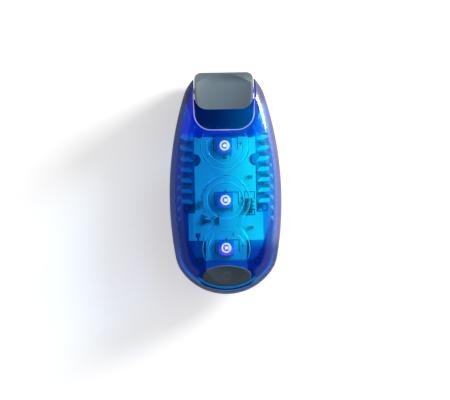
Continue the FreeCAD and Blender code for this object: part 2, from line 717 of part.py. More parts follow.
# Front cover
# Translucent blue moulding: crowned face, rounded shoulder, lens rings, prisms, pins and collar
def make_front_cover():
    blank = outline("cover_blank", "0", PARTING, "size.cover_depth")
    domed = common("cover_domed", blank, barrel("crown", "0"))
    crest = value(f"{CROWN} - size.shoulder_radius")
    dome = round_edges("cover_dome", domed, "size.shoulder_radius",
                       lambda edge: edge.BoundBox.ZMin > crest)
    room = outline("cover_room", "size.wall", PARTING, "size.cover_depth", end=ROOM_END)
    room_domed = common("cover_room_domed", room, barrel("inner_crown", "size.wall"))
    end = value(ROOM_END) - 0.01
    room_dome = round_edges("cover_room_dome", room_domed, "size.shoulder_radius - size.wall",
                            lambda edge: edge.BoundBox.ZMin > crest and edge.BoundBox.YMin < end)
    cavity = cut("cover_cavity", room_dome, recess("recess_wall", "size.wall"))
    shell = cut("cover_shell", dome, cavity)

    ribs = []
    ring, ring_wall = "size.lens_ring_radius", "size.lens_ring_wall"
    inside = f"{ring_wall} - {DRAFT_TO_UNDERSIDE}"
    pair = cut("lens_pair",
               hourglass("lens_pair_outer", f"({ring} - {DRAFT_TO_UNDERSIDE})",
                         f"(size.lens_waist_radius + {DRAFT_TO_UNDERSIDE})", *LED_PLACES[1:],
                         "size.lens_draft"),
               hourglass("lens_pair_inner", f"({ring} - ({inside}))",
                         f"(size.lens_waist_radius + {inside})", *LED_PLACES[1:], "-size.lens_draft"))
    rings = fuse("lens_rings", lens_wall("lens_ring", ring, ring_wall, LED_PLACES[0]), pair)
    ribs.append(cut("lens_rings_trimmed", rings,
                    barrel("lens_ring_foot", "size.wall + size.lens_ring_depth")))
    steps = fuse("lens_steps", *[
        lens_wall(f"lens_step_{n}", "size.lens_step_radius", "size.lens_step_wall", y)
        for n, y in enumerate(LED_PLACES, 1)])
    ribs.append(cut("lens_steps_trimmed", steps,
                    barrel("lens_step_foot", "size.wall + size.lens_step_depth")))
    for maker, kind in ((prism, "prism"), (slanted_bar, "bar")):
        for n in range(int(value(f"size.{kind}_count"))):
            y = f"(size.prism_first_y - {n} * size.prism_pitch)"
            ribs.append(maker(f"{kind}_right_{n + 1}", 1, y))
            ribs.append(maker(f"{kind}_left_{n + 1}", -1, y))
    for name, x, y in LOCATORS:
        ribs.append(cylinder(f"locator_{name}", "size.locator_radius", "size.cover_depth", x, y, PARTING))
    collar_outer = oval("collar_outer", "(size.button_length + 2 * (size.button_play + size.collar_wall))",
                        "(size.button_width + 2 * (size.button_play + size.collar_wall))",
                        "(size.button_end_radius + size.button_play + size.collar_wall)",
                        COLLAR_LOW, "size.cover_depth")
    inside = common("cover_ribs", fuse("cover_ribs_long", *ribs), dome)
    collar = common("collar", collar_outer, barrel("collar_top", "-size.collar_proud"))
    spigots = [cylinder(f"spigot_{name}", "size.spigot_radius", "size.spigot_length + size.locator_radius",
                        x, y, f"{PARTING} - size.spigot_length") for name, x, y in LOCATORS]
    whole = fuse("cover_whole", shell, inside, collar, *spigots)
    hole = oval("button_hole", "(size.button_length + 2 * size.button_play)",
                "(size.button_width + 2 * size.button_play)",
                "(size.button_end_radius + size.button_play)", PARTING, "2 * size.cover_depth")
    open_cover = cut("cover_open", whole, recess("recess", "0"), hole)
    low, side = value(RECESS_LOW) - 0.01, value("size.recess_width / 2") + 0.01

    def on_rim(edge):
        """Whether an edge lies on the crown and round the recess."""
        spots = [edge.valueAt(edge.FirstParameter + (edge.LastParameter - edge.FirstParameter) * share)
                 for share in (0.1, 0.5, 0.9)]
        return all(p.y > low and abs(p.x) < side
                   and abs(p.z - value(crown_height(str(p.y), str(p.x)))) < 0.005 for p in spots)

    return round_edges("front_cover", open_cover, "size.recess_rim_radius", on_rim)


def lug_bar(name, radius, width, z, height):
    """Two opposite lugs as one bar with round ends, on the battery's axis at the origin."""
    return common(name, cylinder(f"{name}_round", radius, height, "0", "0", z),
                  box(f"{name}_box", f"2 * {HOUSING}", width, height, "0", "0", z))


# Rear case
# Translucent blue tub: battery housing, bosses for the pins, saddles for the pivot, seal groove
def make_rear_case():
    blank = outline("rear_blank", "0", BACK, "size.rear_depth")
    back = value(BACK)
    tub = round_edges("rear_tub", blank, "size.back_edge_radius",
                      lambda edge: edge.BoundBox.ZMax < back + 0.01)
    room = outline("rear_room", "size.wall", f"{BACK} + size.floor", "size.rear_depth", end=ROOM_END)
    groove_end = f"({END_WALL} - size.seal_setback)"
    groove_height = "(size.seal_height + size.seal_play)"
    groove = cut("seal_groove",
                 outline("seal_groove_outer", "size.seal_setback", f"{PARTING} - {groove_height}",
                         groove_height, end=groove_end),
                 outline("seal_groove_inner", "(size.seal_setback + size.seal_width)",
                         f"{PARTING} - size.rear_depth", "2 * size.rear_depth",
                         end=f"({groove_end} - size.seal_width)"))
    shell = cut("rear_shell", tub, room, groove)
    seat = f"({BACK} + size.cover_flange)"
    floor_middle = f"({BACK} + size.floor / 2)"
    solids = [cylinder("housing", HOUSING, f"{BOARD_LOW} - {seat}", "0", BATTERY_Y, seat)]
    for name, x, y in LOCATORS:
        solids.append(cylinder(f"boss_{name}", "size.spigot_radius + size.spigot_play + size.boss_wall",
                               f"{PARTING} - {floor_middle}", x, y, floor_middle))
    solids.append(cylinder("spare_boss", "size.spare_boss_radius",
                           f"{PARTING} - size.spare_boss_drop - {floor_middle}", "size.spare_boss_x",
                           "size.spare_boss_y", floor_middle))
    solids.append(box("switch_prop", "size.switch_length", "size.switch_width",
                      f"{BOARD_LOW} - {floor_middle}", "0", SWITCH_Y, floor_middle))
    whole = fuse("rear_whole", shell, *solids)
    entry = group("lug_entry", lug_bar("lug_entry_bar", TRACK, "size.lug_width + 2 * size.lug_play",
                                       seat, "size.lug_seat + size.lug_play"))
    entry.Placement = FreeCAD.Placement(V(0, value(BATTERY_Y), 0),
                                        FreeCAD.Rotation(V(0, 0, 1), -value("size.lug_turn")))
    slot_length = "2 * (size.pin_half_length + size.pin_play)"
    holes = [cylinder("battery_bore", BORE, "2 * size.rear_depth", "0", BATTERY_Y, BACK),
             cylinder("flange_seat", f"{FLANGE} + size.cover_flange_play", "size.cover_flange",
                      "0", BATTERY_Y, BACK),
             cylinder("lug_track", TRACK, "size.lug_thickness + 2 * size.lug_play", "0", BATTERY_Y,
                      f"{seat} + size.lug_seat"),
             entry,
             box("contact_slot", "size.contact_width + 4 * size.plug_play", HOUSING, "size.rear_depth",
                 "0", f"{BATTERY_Y} + {HOUSING}", PLUG_TOP),
             cylinder("pin_saddle", "size.pin_radius + size.pin_play", slot_length,
                      "0", PIVOT_Y, PIVOT_Z, "x"),
             box("pin_way_in", slot_length, "2 * (size.pin_radius + size.pin_play)",
                 "size.rear_depth", "0", PIVOT_Y, PIVOT_Z)]
    holes.append(cylinder("spare_boss_bore", "size.spare_boss_radius - size.boss_wall", "size.rear_depth",
                          "size.spare_boss_x", "size.spare_boss_y", f"{BACK} + size.floor + size.boss_wall"))
    for name, x, y in LOCATORS:
        bore = "(size.spigot_length + 2 * size.spigot_play)"
        holes.append(cylinder(f"boss_bore_{name}", "size.spigot_radius + size.spigot_play",
                              bore, x, y, f"{PARTING} - {bore}"))
    return cut("rear_case", whole, recess("rear_end_gap", "0"), *holes)


# Case seal
# Soft loop in the groove of the rear case's rim, pressed flat by the cover
def make_case_seal():
    end = f"({END_WALL} - size.seal_setback - size.seal_play)"
    width = "(size.seal_width - 2 * size.seal_play)"
    z = f"{PARTING} - size.seal_height"
    outer = outline("seal_outer", "(size.seal_setback + size.seal_play)", z, "size.seal_height", end=end)
    inner = outline("seal_inner", f"(size.seal_setback + size.seal_play + {width})",
                    f"{PARTING} - size.rear_depth", "2 * size.rear_depth", end=f"({end} - {width})")
    return cut("case_seal", outer, inner)


# Clip lever
# Grey moulding in one piece: thumb tab, hook round the case's end, flat arm and grooved jaw
def make_clip_lever():
    lip = "(size.half_length - size.tab_length)"
    top = f"({CROWN} + size.tab_rise)"
    under = f"({top} - size.tab_lip_drop - size.lip_thickness)"
    inner_top = f"({under} - size.tab_underside_fall)"
    arm = "size.arm_thickness"
    pad_z = f"({BACK} - size.jaw_clearance)"
    bend = f"({arm} + size.hook_bend)"
    ramp = (f"(((size.jaw_pad_near - size.jaw_ramp_start) ^ 2 + ({pad_z} - {arm}) ^ 2)"
            f" / (2 * ({pad_z} - {arm})))")
    tip_run = "(size.arm_reach - size.rest_flat_end)"
    tip_bend = f"(({tip_run} ^ 2 + size.arm_tip_rise ^ 2) / (2 * size.arm_tip_rise))"
    outer_bend = f"(size.half_length - ({HOOK_INNER} - size.hook_bend))"
    corners = (
        (lip, under),
        (f"({HOOK_INNER} - size.tab_inner_corner)", inner_top),
        (HOOK_INNER, f"({inner_top} - size.tab_inner_corner)"),
        (HOOK_INNER, bend),
        (f"({HOOK_INNER} - size.hook_bend)", arm),
        ("-size.jaw_ramp_start", arm),
        ("-size.jaw_pad_near", pad_z),
        ("-size.jaw_pad_far", pad_z),
        ("-size.arm_reach", f"({pad_z} - size.jaw_flare_drop)"),
        ("-size.arm_reach", "size.arm_tip_rise"),
        ("-size.rest_flat_end", "0"),
        (f"({HOOK_INNER} - size.hook_bend)", "0"),
        ("size.half_length", outer_bend),
        ("size.half_length", f"({top} - size.tab_slope_drop)"),
        ("(size.half_length - size.tab_slope_run)", top),
        (lip, f"({top} - size.tab_lip_drop)"),
    )
    arcs = {1: ("size.tab_inner_corner", "right"), 3: ("size.hook_bend", "right"), 5: (ramp, "right"),
            9: (tip_bend, "left"), 11: (outer_bend, "left"), 14: ("size.tab_arch", "left")}
    side = padded_loop("lever_side", "YZ_Plane", corners, arcs, "size.tab_width", both_ways=True)
    plan = new_body("lever_plan")
    sketch = new_sketch(plan, "lever_plan_loop", "XY_Plane")
    half, tip = "(size.tab_width / 2)", "(size.arm_tip_width / 2)"
    draw_loop(sketch, ((half, "size.half_length"), (f"-{half}", "size.half_length"), (f"-{half}", lip),
                       (f"-{tip}", "-size.arm_reach"), (tip, "-size.arm_reach"), (half, lip)))
    pad(plan, sketch, f"{top} + size.tab_rise")
    hook_end, tip_end = value("size.half_length"), value("-size.arm_reach")
    round_uprights(plan, "lever_hook_corners", "size.hook_corner", lambda box: box.YMin > hook_end - 0.01)
    round_uprights(plan, "lever_tip_corners", "size.arm_tip_corner", lambda box: box.YMax < tip_end + 0.01)
    body = common("lever_blank", side, plan)
    dish_y = "(size.half_length - size.tab_dish_setback)"
    dish_ring = doc.addObject("Part::Torus", "tab_dish_ring")
    dish_ring.setExpression("Radius1", "size.tab_dish_arch + size.tab_dish_radius")
    dish_ring.setExpression("Radius2", "size.tab_dish_radius")
    place(dish_ring, "0", dish_y, f"{top} - size.tab_dish_sag - size.tab_dish_arch", "x")
    over_tab = box("over_tab", "2 * size.tab_width", "2 * size.tab_length", "2 * size.tab_dish_radius",
                   "0", dish_y, inner_top)
    dished = cut("lever_dished", body, common("tab_dish", dish_ring, over_tab))
    lip_y, lip_low = value(lip), value(inner_top)
    rounded = round_edges("lever_lip", dished, "size.lip_corner",
                          lambda edge: is_upright(edge) and abs(edge.BoundBox.YMin - lip_y) < 0.01
                          and edge.BoundBox.ZMin > lip_low)
    knuckles = []
    depth = f"({half} - size.knuckle_inner)"
    for name, sign in (("left", "-"), ("right", "")):
        x = f"{sign}(size.knuckle_inner + {depth} / 2)"
        knuckles.append(cylinder(f"knuckle_{name}", COIL_REACH, depth, x, PIVOT_Y, PIVOT_Z, "x"))
        web = f"({HOOK_INNER} + size.coil_clearance - {PIVOT_Y})"
        knuckles.append(box(f"knuckle_web_{name}", depth, web, f"2 * {COIL_REACH}", x,
                            f"({PIVOT_Y} + {web} / 2)", f"{PIVOT_Z} - {COIL_REACH}"))
    whole = fuse("lever_whole", rounded, *knuckles)
    tools = [cylinder("knuckle_bore", "size.pin_radius + size.pin_play", "2 * size.tab_width", "0",
                      PIVOT_Y, PIVOT_Z, "x")]
    pad_middle = "(0 - (size.jaw_pad_near + size.jaw_pad_far) / 2)"
    for n in (-1, 0, 1):
        tools.append(box(f"jaw_groove_{n + 2}", "2 * size.tab_width", "size.jaw_groove / 2",
                         "size.jaw_groove", "0", f"({pad_middle} + {n} * 1.5 * size.jaw_groove)",
                         f"{pad_z} - size.jaw_groove / 2"))
    return cut("clip_lever", whole, *tools)


# Pivot pin
# Steel pin with bevelled ends, lying in the rear case's saddles under the cover
def make_pivot_pin():
    body = new_body("pivot_pin")
    sketch = new_sketch(body, "pivot_pin_loop", "XZ_Plane")
    half, radius, bevel = "size.pin_half_length", "size.pin_radius", "size.pin_end_bevel"
    draw_loop(sketch, ((f"-{half}", "0"), (half, "0"), (half, f"{radius} - {bevel}"),
                       (f"{half} - {bevel}", radius), (f"{bevel} - {half}", radius),
                       (f"-{half}", f"{radius} - {bevel}")))
    turned = body.newObject("PartDesign::Revolution", "pivot_pin_turned")
    turned.Profile = sketch
    turned.ReferenceAxis = (sketch, ["H_Axis"])
    turned.Angle = 360
    return place(body, "0", PIVOT_Y, PIVOT_Z)


# Clip spring
# One steel wire wound round the pin between the knuckles, one leg on the case, one on the lever
def biarc(start, start_way, stop, stop_way):
    """Two arcs that join two points and leave them along the given directions."""
    gap = stop - start
    ways = start_way + stop_way
    spread = 2 * (1 - start_way.dot(stop_way))
    along = gap.dot(ways)
    reach = (math.sqrt(along ** 2 + spread * gap.dot(gap)) - along) / spread
    middle = (start + start_way * reach + stop - stop_way * reach) * 0.5

    def arc(first, way, last):
        chord = last - first
        unit = V(chord.x, chord.y, chord.z).normalize()
        bulge = way - unit * way.dot(unit)
        bulge.normalize()
        half_angle = math.acos(max(-1.0, min(1.0, way.dot(unit)))) / 2
        top = (first + last) * 0.5 + bulge * (chord.Length / 2 * math.tan(half_angle))
        return Part.Arc(first, top, last).toShape()

    joint_way = (stop - stop_way * reach - start - start_way * reach).normalize()
    return [arc(start, start_way, middle), arc(middle, joint_way, stop)]


def spring_path():
    """The wire's centre line about the pivot: fixed leg, coil in quarter turns, lever leg."""
    radius, pitch, turns = (value(f"size.{name}") for name in ("coil_radius", "coil_pitch", "coil_turns"))
    quarters = int(round(4 * turns))
    begin = math.pi
    half_width = pitch * turns / 2

    def spot(n):
        angle = begin + n * math.pi / 2
        return V(n * pitch / 4 - half_width, radius * math.cos(angle), radius * math.sin(angle))

    def way(n):
        angle = begin + n * math.pi / 2
        level = n in (0, quarters)
        return V(0 if level else pitch / (2 * math.pi), -radius * math.sin(angle),
                 radius * math.cos(angle)).normalize()

    first, last = spot(0), spot(quarters)
    edges = [Part.LineSegment(first - way(0) * value("size.fixed_leg"), first).toShape()]
    for n in range(quarters):
        edges += biarc(spot(n), way(n), spot(n + 1), way(n + 1))
    edges.append(Part.LineSegment(last, last + way(quarters) * value("size.lever_leg")).toShape())
    return Part.Wire(edges)


def print_least_gap(path, wire):
    """Prints how near the wire comes to itself, measured on points along its centre line."""
    points = path.discretize(Distance=wire / 2)
    step = path.Length / (len(points) - 1)
    apart = int(math.ceil(4 * wire / step))
    least = min((points[i] - points[j]).Length for i in range(len(points))
                for j in range(i + apart, len(points)))
    print("spring: least gap to itself %.2f mm, wire %.1f mm long" % (least - wire, path.Length))


def make_clip_spring():
    path = spring_path()
    wire = value("size.wire")
    print_least_gap(path, wire)
    start = path.Edges[0].valueAt(path.Edges[0].FirstParameter)
    heading = path.Edges[0].tangentAt(path.Edges[0].FirstParameter)
    section = Part.Wire(Part.Circle(start, heading, wire / 2).toShape())
    thing = doc.addObject("Part::Feature", "clip_spring")
    thing.Shape = path.makePipeShell([section], True, False)
    return place(thing, "0", PIVOT_Y, PIVOT_Z)


# Button
# Grey push button: oval cap dished along its length, two lugs under the collar, and stem
def make_button():
    cap = oval("button_cap", "size.button_length", "size.button_width", "size.button_end_radius",
               FLANGE_LOW, "size.cover_depth")
    topped = common("button_topped", cap, barrel("button_crown", "(0 - size.button_proud)"))
    ball = doc.addObject("Part::Sphere", "button_dish")
    ball.setExpression("Radius", "size.button_dish_radius")
    crest = f"({crown_height(BUTTON_Y)} + size.button_proud - size.button_dish_depth)"
    place(ball, "0", BUTTON_Y, f"{crest} + size.button_dish_radius")
    dished = cut("button_dished", topped, ball)
    low = value(COLLAR_LOW)
    rounded = round_edges("button_rounded", dished, "size.button_edge",
                          lambda edge: edge.BoundBox.ZMin > low and not is_upright(edge))
    flange = box("button_lugs", "size.button_length + 2 * (size.button_play + size.flange_over)",
                 "size.flange_width", "size.flange_thickness", "0",
                 f"({BUTTON_Y} + size.flange_shift)", FLANGE_LOW)
    stem = cylinder("button_stem", "size.stem_radius", "size.stem_length + size.flange_thickness / 2", "0",
                    SWITCH_Y, PLUNGER_TOP)
    return fuse("button", rounded, flange, stem)


# Switch
# Black body on the board with the plunger that the button's stem presses
def make_switch():
    body = box("switch_box", "size.switch_length", "size.switch_width", f"{SWITCH_TOP} - {BOARD_TOP}",
               "0", SWITCH_Y, BOARD_TOP)
    sunk = "(size.plunger_sunk + size.plunger_show)"
    well = cylinder("switch_well", "size.plunger_radius + size.plunger_play",
                    "size.plunger_sunk + size.button_travel + size.plunger_play", "0", SWITCH_Y,
                    f"{SWITCH_TOP} - size.plunger_sunk - size.button_travel - size.plunger_play")
    yield cut("switch_body", body, well)
    yield cylinder("switch_plunger", "size.plunger_radius", sunk, "0", SWITCH_Y,
                   f"{SWITCH_TOP} - size.plunger_sunk")


# Circuit board
# White glass-fibre board cut round the cover's pins, with finger notches beside the top LED
def make_circuit_board():
    half, wide, tongue = "(size.board_width / 2)", "(size.board_wide / 2)", "(size.tongue_width / 2)"
    step, low = "(0 - size.board_wide_top)", "(0 - size.board_wide_low)"
    end = "(size.tongue_setback - size.half_length)"
    right = ((half, "size.board_top_y"), (half, step), (wide, step), (wide, low), (tongue, low),
             (tongue, end))
    left = tuple((f"(0 - {x})", y) for x, y in right)
    board = padded_loop("board_blank", "XY_Plane", tuple(reversed(right)) + left, None,
                        "size.board_thickness", z=BOARD_LOW)
    cuts = []
    for name, x, y in LOCATORS:
        cuts.append(cylinder(f"board_way_{name}", "size.locator_radius + size.locator_gap",
                             "3 * size.board_thickness", x, y, f"{BOARD_LOW} - size.board_thickness"))
    for name, sign in (("left", "-"), ("right", "")):
        inner = f"(size.notch_reach + size.notch_width / 2)"
        cuts.append(cylinder(f"board_notch_{name}", "size.notch_width / 2", "3 * size.board_thickness",
                             f"{sign}{inner}", "size.notch_y", f"{BOARD_LOW} - size.board_thickness"))
        cuts.append(box(f"board_notch_mouth_{name}", "size.board_width / 2", "size.notch_width",
                        "3 * size.board_thickness", f"{sign}({inner} + size.board_width / 4)", "size.notch_y",
                        f"{BOARD_LOW} - size.board_thickness"))
    cuts.append(cylinder("test_hole", "size.test_hole_radius", "3 * size.board_thickness",
                         "size.test_hole_x", "(size.test_hole_inset - size.board_wide_low)",
                         f"{BOARD_LOW} - size.board_thickness"))
    cuts.append(box("test_slot", "size.test_slot_width", "size.test_hole_inset",
                    "3 * size.board_thickness", "size.test_hole_x",
                    "(size.test_hole_inset / 2 - size.board_wide_low)",
                    f"{BOARD_LOW} - size.board_thickness"))
    return cut("circuit_board", board, *cuts)


# LEDs
# White package with a round cup, a lit chip in the cup and a clear lens over it
def make_leds():
    chips, lenses = [], []
    cup_floor = f"({BOARD_TOP} + size.led_height - size.led_cup_depth)"
    for n, y in enumerate(LED_PLACES, 1):
        package = box(f"led_{n}_block", "size.led_width", "size.led_width", "size.led_height",
                      "0", y, BOARD_TOP)
        cup = cylinder(f"led_{n}_cup", "size.led_cup_radius", "size.led_height", "0", y, cup_floor)
        yield cut(f"led_{n}", package, cup)
        chips.append(box(f"led_chip_{n}", "size.led_chip_width", "size.led_chip_width",
                         "size.led_chip_height", "0", y, cup_floor))
        lens_low = f"({cup_floor} + size.led_chip_height + size.led_lens_gap)"
        top = f"({BOARD_TOP} + size.led_height)"
        radius = "(size.led_cup_radius - size.led_lens_gap)"
        rim = cylinder(f"led_lens_rim_{n}", radius, f"{top} - {lens_low}", "0", y, lens_low)
        ball_radius = f"(({radius} ^ 2 + size.led_lens_rise ^ 2) / (2 * size.led_lens_rise))"
        ball = doc.addObject("Part::Sphere", f"led_lens_ball_{n}")
        ball.setExpression("Radius", ball_radius)
        place(ball, "0", y, f"{top} + size.led_lens_rise - {ball_radius}")
        column = cylinder(f"led_lens_column_{n}", radius, f"{top} + 2 * size.led_lens_rise - {lens_low}",
                          "0", y, lens_low)
        lenses.append(fuse(f"led_lens_{n}", rim, common(f"led_lens_cap_{n}", ball, column)))
    yield group("led_chips", *chips)
    yield group("led_lenses", *lenses)


# Controller chip
# Black moulded chip with three flat leads on each long side, flush on the board
def make_controller_chip():
    block = box("chip_block", "size.chip_width", "size.chip_length", "size.chip_height",
                "size.chip_x", "size.chip_y", BOARD_TOP)
    leads = [box(f"chip_lead_{n + 2}", "size.chip_width + 2 * size.lead_reach", "size.lead_width",
                 "size.lead_width / 2", "size.chip_x", f"(size.chip_y + {n} * size.lead_pitch)", BOARD_TOP)
             for n in (-1, 0, 1)]
    return fuse("controller_chip", block, *leads)


# Resistors, capacitor and solder
# Small parts that lie flat on the board, the solder of the plus contact and a bow of solder where
# the two wires of the minus contact cross
def make_small_parts():
    yield group("chip_resistors", *[
        box(f"resistor_{n}", "size.resistor_length", "size.resistor_width", "size.resistor_height",
            "size.resistor_x", f"size.resistor_{n}_y", BOARD_TOP) for n in (1, 2)])
    yield box("capacitor", "size.capacitor_width", "size.capacitor_length", "size.capacitor_height",
              "size.capacitor_x", "size.capacitor_y", BOARD_TOP)
    plus_y = f"({BATTERY_Y} + size.battery_radius + size.joint_radius)"
    dot = cone("plus_solder", "size.joint_radius", "(size.joint_radius / 2)", "size.joint_height",
               "0", plus_y, BOARD_TOP)
    left, right = "(size.bow_x - size.bow_length / 2)", "(size.bow_x + size.bow_length / 2)"
    low, high = "(size.bow_y - size.bow_width / 2)", "(size.bow_y + size.bow_width / 2)"
    bow = padded_loop("bow_solder", "XY_Plane",
                      ((left, low), ("size.bow_x", "(size.bow_y - size.bow_waist / 2)"), (right, low),
                       (right, high), ("size.bow_x", "(size.bow_y + size.bow_waist / 2)"), (left, high)),
                      None, "size.joint_height", z=BOARD_TOP)
    yield group("solder_joints", dot, bow)


# Battery
# Coin cell with its smaller minus face towards the board
def make_battery():
    low = f"({PLUG_TOP} + size.plug_play / 2)"
    can = cylinder("battery_can", "size.battery_radius", "size.battery_height - size.battery_cap_height",
                   "0", BATTERY_Y, low)
    rim = round_edges("battery_can_rounded", can, "size.battery_cap_height",
                      lambda edge: edge.BoundBox.ZLength < 0.01)
    cap = cylinder("battery_cap", "size.battery_cap_radius", "size.battery_cap_height * 2", "0", BATTERY_Y,
                   f"{low} + size.battery_height - size.battery_cap_height * 2")
    return fuse("battery", rim, cap)


# Battery contacts
# Sprung strips under the board: one presses the minus face, one stands at the plus rim
def make_contacts():
    top = f"({PLUG_TOP} + size.plug_play / 2 + size.battery_height)"
    thick = "size.contact_thickness"
    touch = f"({top} + size.plug_play / 2)"
    width = "size.contact_width"
    foot = f"({BOARD_LOW} - {thick})"
    yield padded_loop("battery_minus_contact", "XZ_Plane",
                      ((f"(0 - 2 * {width})", BOARD_LOW), (f"(0 - 2 * {width})", foot), ("0", foot),
                       (f"(1.5 * {width})", touch), (f"(2 * {width})", touch),
                       (f"(2 * {width})", f"({touch} + {thick})"),
                       (f"(1.5 * {width})", f"({touch} + {thick})"), ("0", BOARD_LOW)),
                      None, width, both_ways=True, z="size.battery_y")
    rim = f"({BATTERY_Y} + size.battery_radius + size.plug_play / 2)"
    low = f"({PLUG_TOP} + size.battery_cap_height * 2)"
    yield padded_loop("battery_plus_contact", "YZ_Plane",
                      ((rim, low), (f"({rim} + {thick})", low), (f"({rim} + {thick})", foot),
                       (f"({rim} + {width})", foot), (f"({rim} + {width})", BOARD_LOW), (rim, BOARD_LOW)),
                      None, width, both_ways=True)


# Battery cover
# Coin-slot bayonet cover: flange flush with the case's back, plug, two lugs and a sealing ring
def make_battery_cover():
    flange = cylinder("cover_disc", FLANGE, "size.cover_flange", "0", "0", BACK)
    plug = cylinder("cover_plug", f"{BORE} - size.plug_play", f"{PLUG_TOP} - {BACK} - size.plug_play / 2",
                    "0", "0", BACK)
    lugs = lug_bar("cover_lugs", f"({TRACK} - size.lug_play)", "size.lug_width",
                   f"{BACK} + size.cover_flange + size.lug_seat + size.lug_play", "size.lug_thickness")
    whole = fuse("cover_body", flange, plug, lugs)
    slot = box("coin_slot", "size.coin_slot_length", "size.coin_slot_width", "2 * size.coin_slot_depth",
               "0", "0", f"{BACK} - size.coin_slot_depth")
    groove_low = f"({BACK} + size.cover_flange - size.ring_seal_groove)"
    half = "(size.ring_seal_width / 2 + size.seal_play)"
    groove = cut("ring_seal_groove",
                 cylinder("ring_groove_outer", f"{RING_SEAL} + {half}", "size.cover_flange", "0", "0",
                          groove_low),
                 cylinder("ring_groove_inner", f"{RING_SEAL} - {half}", "size.rear_depth", "0", "0", BACK))
    cover = cut("battery_cover", whole, slot, groove)
    yield place(cover, "0", BATTERY_Y, "0")
    ring = cut("battery_cover_seal",
               cylinder("ring_seal_outer", f"{RING_SEAL} + size.ring_seal_width / 2", "size.ring_seal_groove",
                        "0", "0", groove_low),
               cylinder("ring_seal_inner", f"{RING_SEAL} - size.ring_seal_width / 2", "size.rear_depth",
                        "0", "0", BACK))
    yield place(ring, "0", BATTERY_Y, "0")


pieces = [make_front_cover(), make_rear_case(), make_case_seal(), make_clip_lever(), make_pivot_pin(),
          make_clip_spring(), make_button(), *make_switch(), make_circuit_board(), *make_leds(),
          make_controller_chip(), *make_small_parts(), make_battery(), *make_contacts(),
          *make_battery_cover()]
doc.recompute()

for thing in doc.Objects:
    if "Invalid" in thing.State or "Error" in thing.State:
        raise RuntimeError(f"{thing.Name} didn't build: {thing.State}")
os.makedirs("parts", exist_ok=True)
for piece in pieces:
    piece.Label = piece.Name
    shape = piece.Shape
    if shape.isNull() or not shape.isValid():
        raise RuntimeError(f"{piece.Name} isn't a valid solid")
    shape.exportStep(f"parts/{piece.Name}.step")
    print(f"{piece.Name}: {len(shape.Solids)} solid, {shape.Volume:.1f} mm3")
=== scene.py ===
import math

import bmesh
import bpy
from mathutils import Euler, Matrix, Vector


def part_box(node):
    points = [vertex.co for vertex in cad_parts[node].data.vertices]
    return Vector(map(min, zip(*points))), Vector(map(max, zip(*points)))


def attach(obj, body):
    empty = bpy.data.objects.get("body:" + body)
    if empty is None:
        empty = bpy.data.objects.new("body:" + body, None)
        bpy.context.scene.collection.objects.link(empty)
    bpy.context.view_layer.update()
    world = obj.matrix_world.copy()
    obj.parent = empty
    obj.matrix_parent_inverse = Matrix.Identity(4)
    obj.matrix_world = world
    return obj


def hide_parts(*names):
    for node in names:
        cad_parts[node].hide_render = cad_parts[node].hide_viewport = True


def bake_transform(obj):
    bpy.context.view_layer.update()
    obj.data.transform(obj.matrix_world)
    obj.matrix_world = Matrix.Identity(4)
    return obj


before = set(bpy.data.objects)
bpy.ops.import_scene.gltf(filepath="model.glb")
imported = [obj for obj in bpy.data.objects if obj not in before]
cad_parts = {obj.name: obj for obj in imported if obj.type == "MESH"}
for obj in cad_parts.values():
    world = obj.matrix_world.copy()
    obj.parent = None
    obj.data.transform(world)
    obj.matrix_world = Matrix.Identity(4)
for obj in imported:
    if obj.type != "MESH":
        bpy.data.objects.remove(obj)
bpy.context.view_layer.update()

# The view
# The camera hangs straight above the light, far off, so that its sides hardly spread. It is turned by
# one degree, as the light lies in the picture, and 18 mm above the table it sees 148.7 mm across.
VIEW_WIDTH = 0.1487
VIEW_LEVEL = 0.018
VIEW_HEIGHT = 1.1
VIEW_MIDDLE = (-0.0002, -0.0054)
VIEW_TURN = math.radians(-1.0)
SENSOR_WIDTH = 36.0
camera = bpy.data.objects.new("camera", bpy.data.cameras.new("camera"))
camera.data.sensor_width = SENSOR_WIDTH
camera.data.lens = SENSOR_WIDTH * (VIEW_HEIGHT - VIEW_LEVEL) / VIEW_WIDTH
camera.data.clip_start = 0.05
camera.data.clip_end = 10.0
camera.location = (*VIEW_MIDDLE, VIEW_HEIGHT)
camera.rotation_euler = Euler((0.0, 0.0, VIEW_TURN))
bpy.context.scene.collection.objects.link(camera)
bpy.context.scene.camera = camera
bpy.context.scene.view_settings.view_transform = "Standard"


# The table and the lamp
# A plain white sheet, a small soft lamp low on the right and a pale tent all round. The sheet shows
# white to the eye, keeps a soft shadow of what lies on it, and lets the eye through from below.
def new_material(name):
    """An empty material, its node tree and the socket for its surface."""
    material = bpy.data.materials.new(name)
    material.use_nodes = True
    material.node_tree.nodes.clear()
    output = material.node_tree.nodes.new("ShaderNodeOutputMaterial")
    return material, material.node_tree, output.inputs["Surface"]


def set_input(tree, socket, value):
    """Gives a socket its value, which is another socket or a plain value."""
    if isinstance(value, bpy.types.NodeSocket):
        tree.links.new(value, socket)
    else:
        socket.default_value = value


def add_node(tree, kind, **values):
    """A node of a tree; each value goes to the input of that name, or else to the property."""
    node = tree.nodes.new(kind)
    for name, value in values.items():
        socket = node.inputs.get(name.replace("_", " "))
        if socket is None:
            setattr(node, name, value)
        else:
            set_input(tree, socket, value)
    return node


def maths(tree, operation, first, second=0.0, clamp=False):
    """The result of one calculation with numbers."""
    node = add_node(tree, "ShaderNodeMath", operation=operation, use_clamp=clamp)
    set_input(tree, node.inputs[0], first)
    set_input(tree, node.inputs[1], second)
    return node.outputs[0]


def vectors(tree, operation, first, second=(0.0, 0.0, 0.0)):
    """The result of one calculation with vectors, which for a length or a dot product is a number."""
    node = add_node(tree, "ShaderNodeVectorMath", operation=operation)
    set_input(tree, node.inputs[0], first)
    set_input(tree, node.inputs[1], second)
    return node.outputs["Value" if operation in ("LENGTH", "DOT_PRODUCT") else "Vector"]


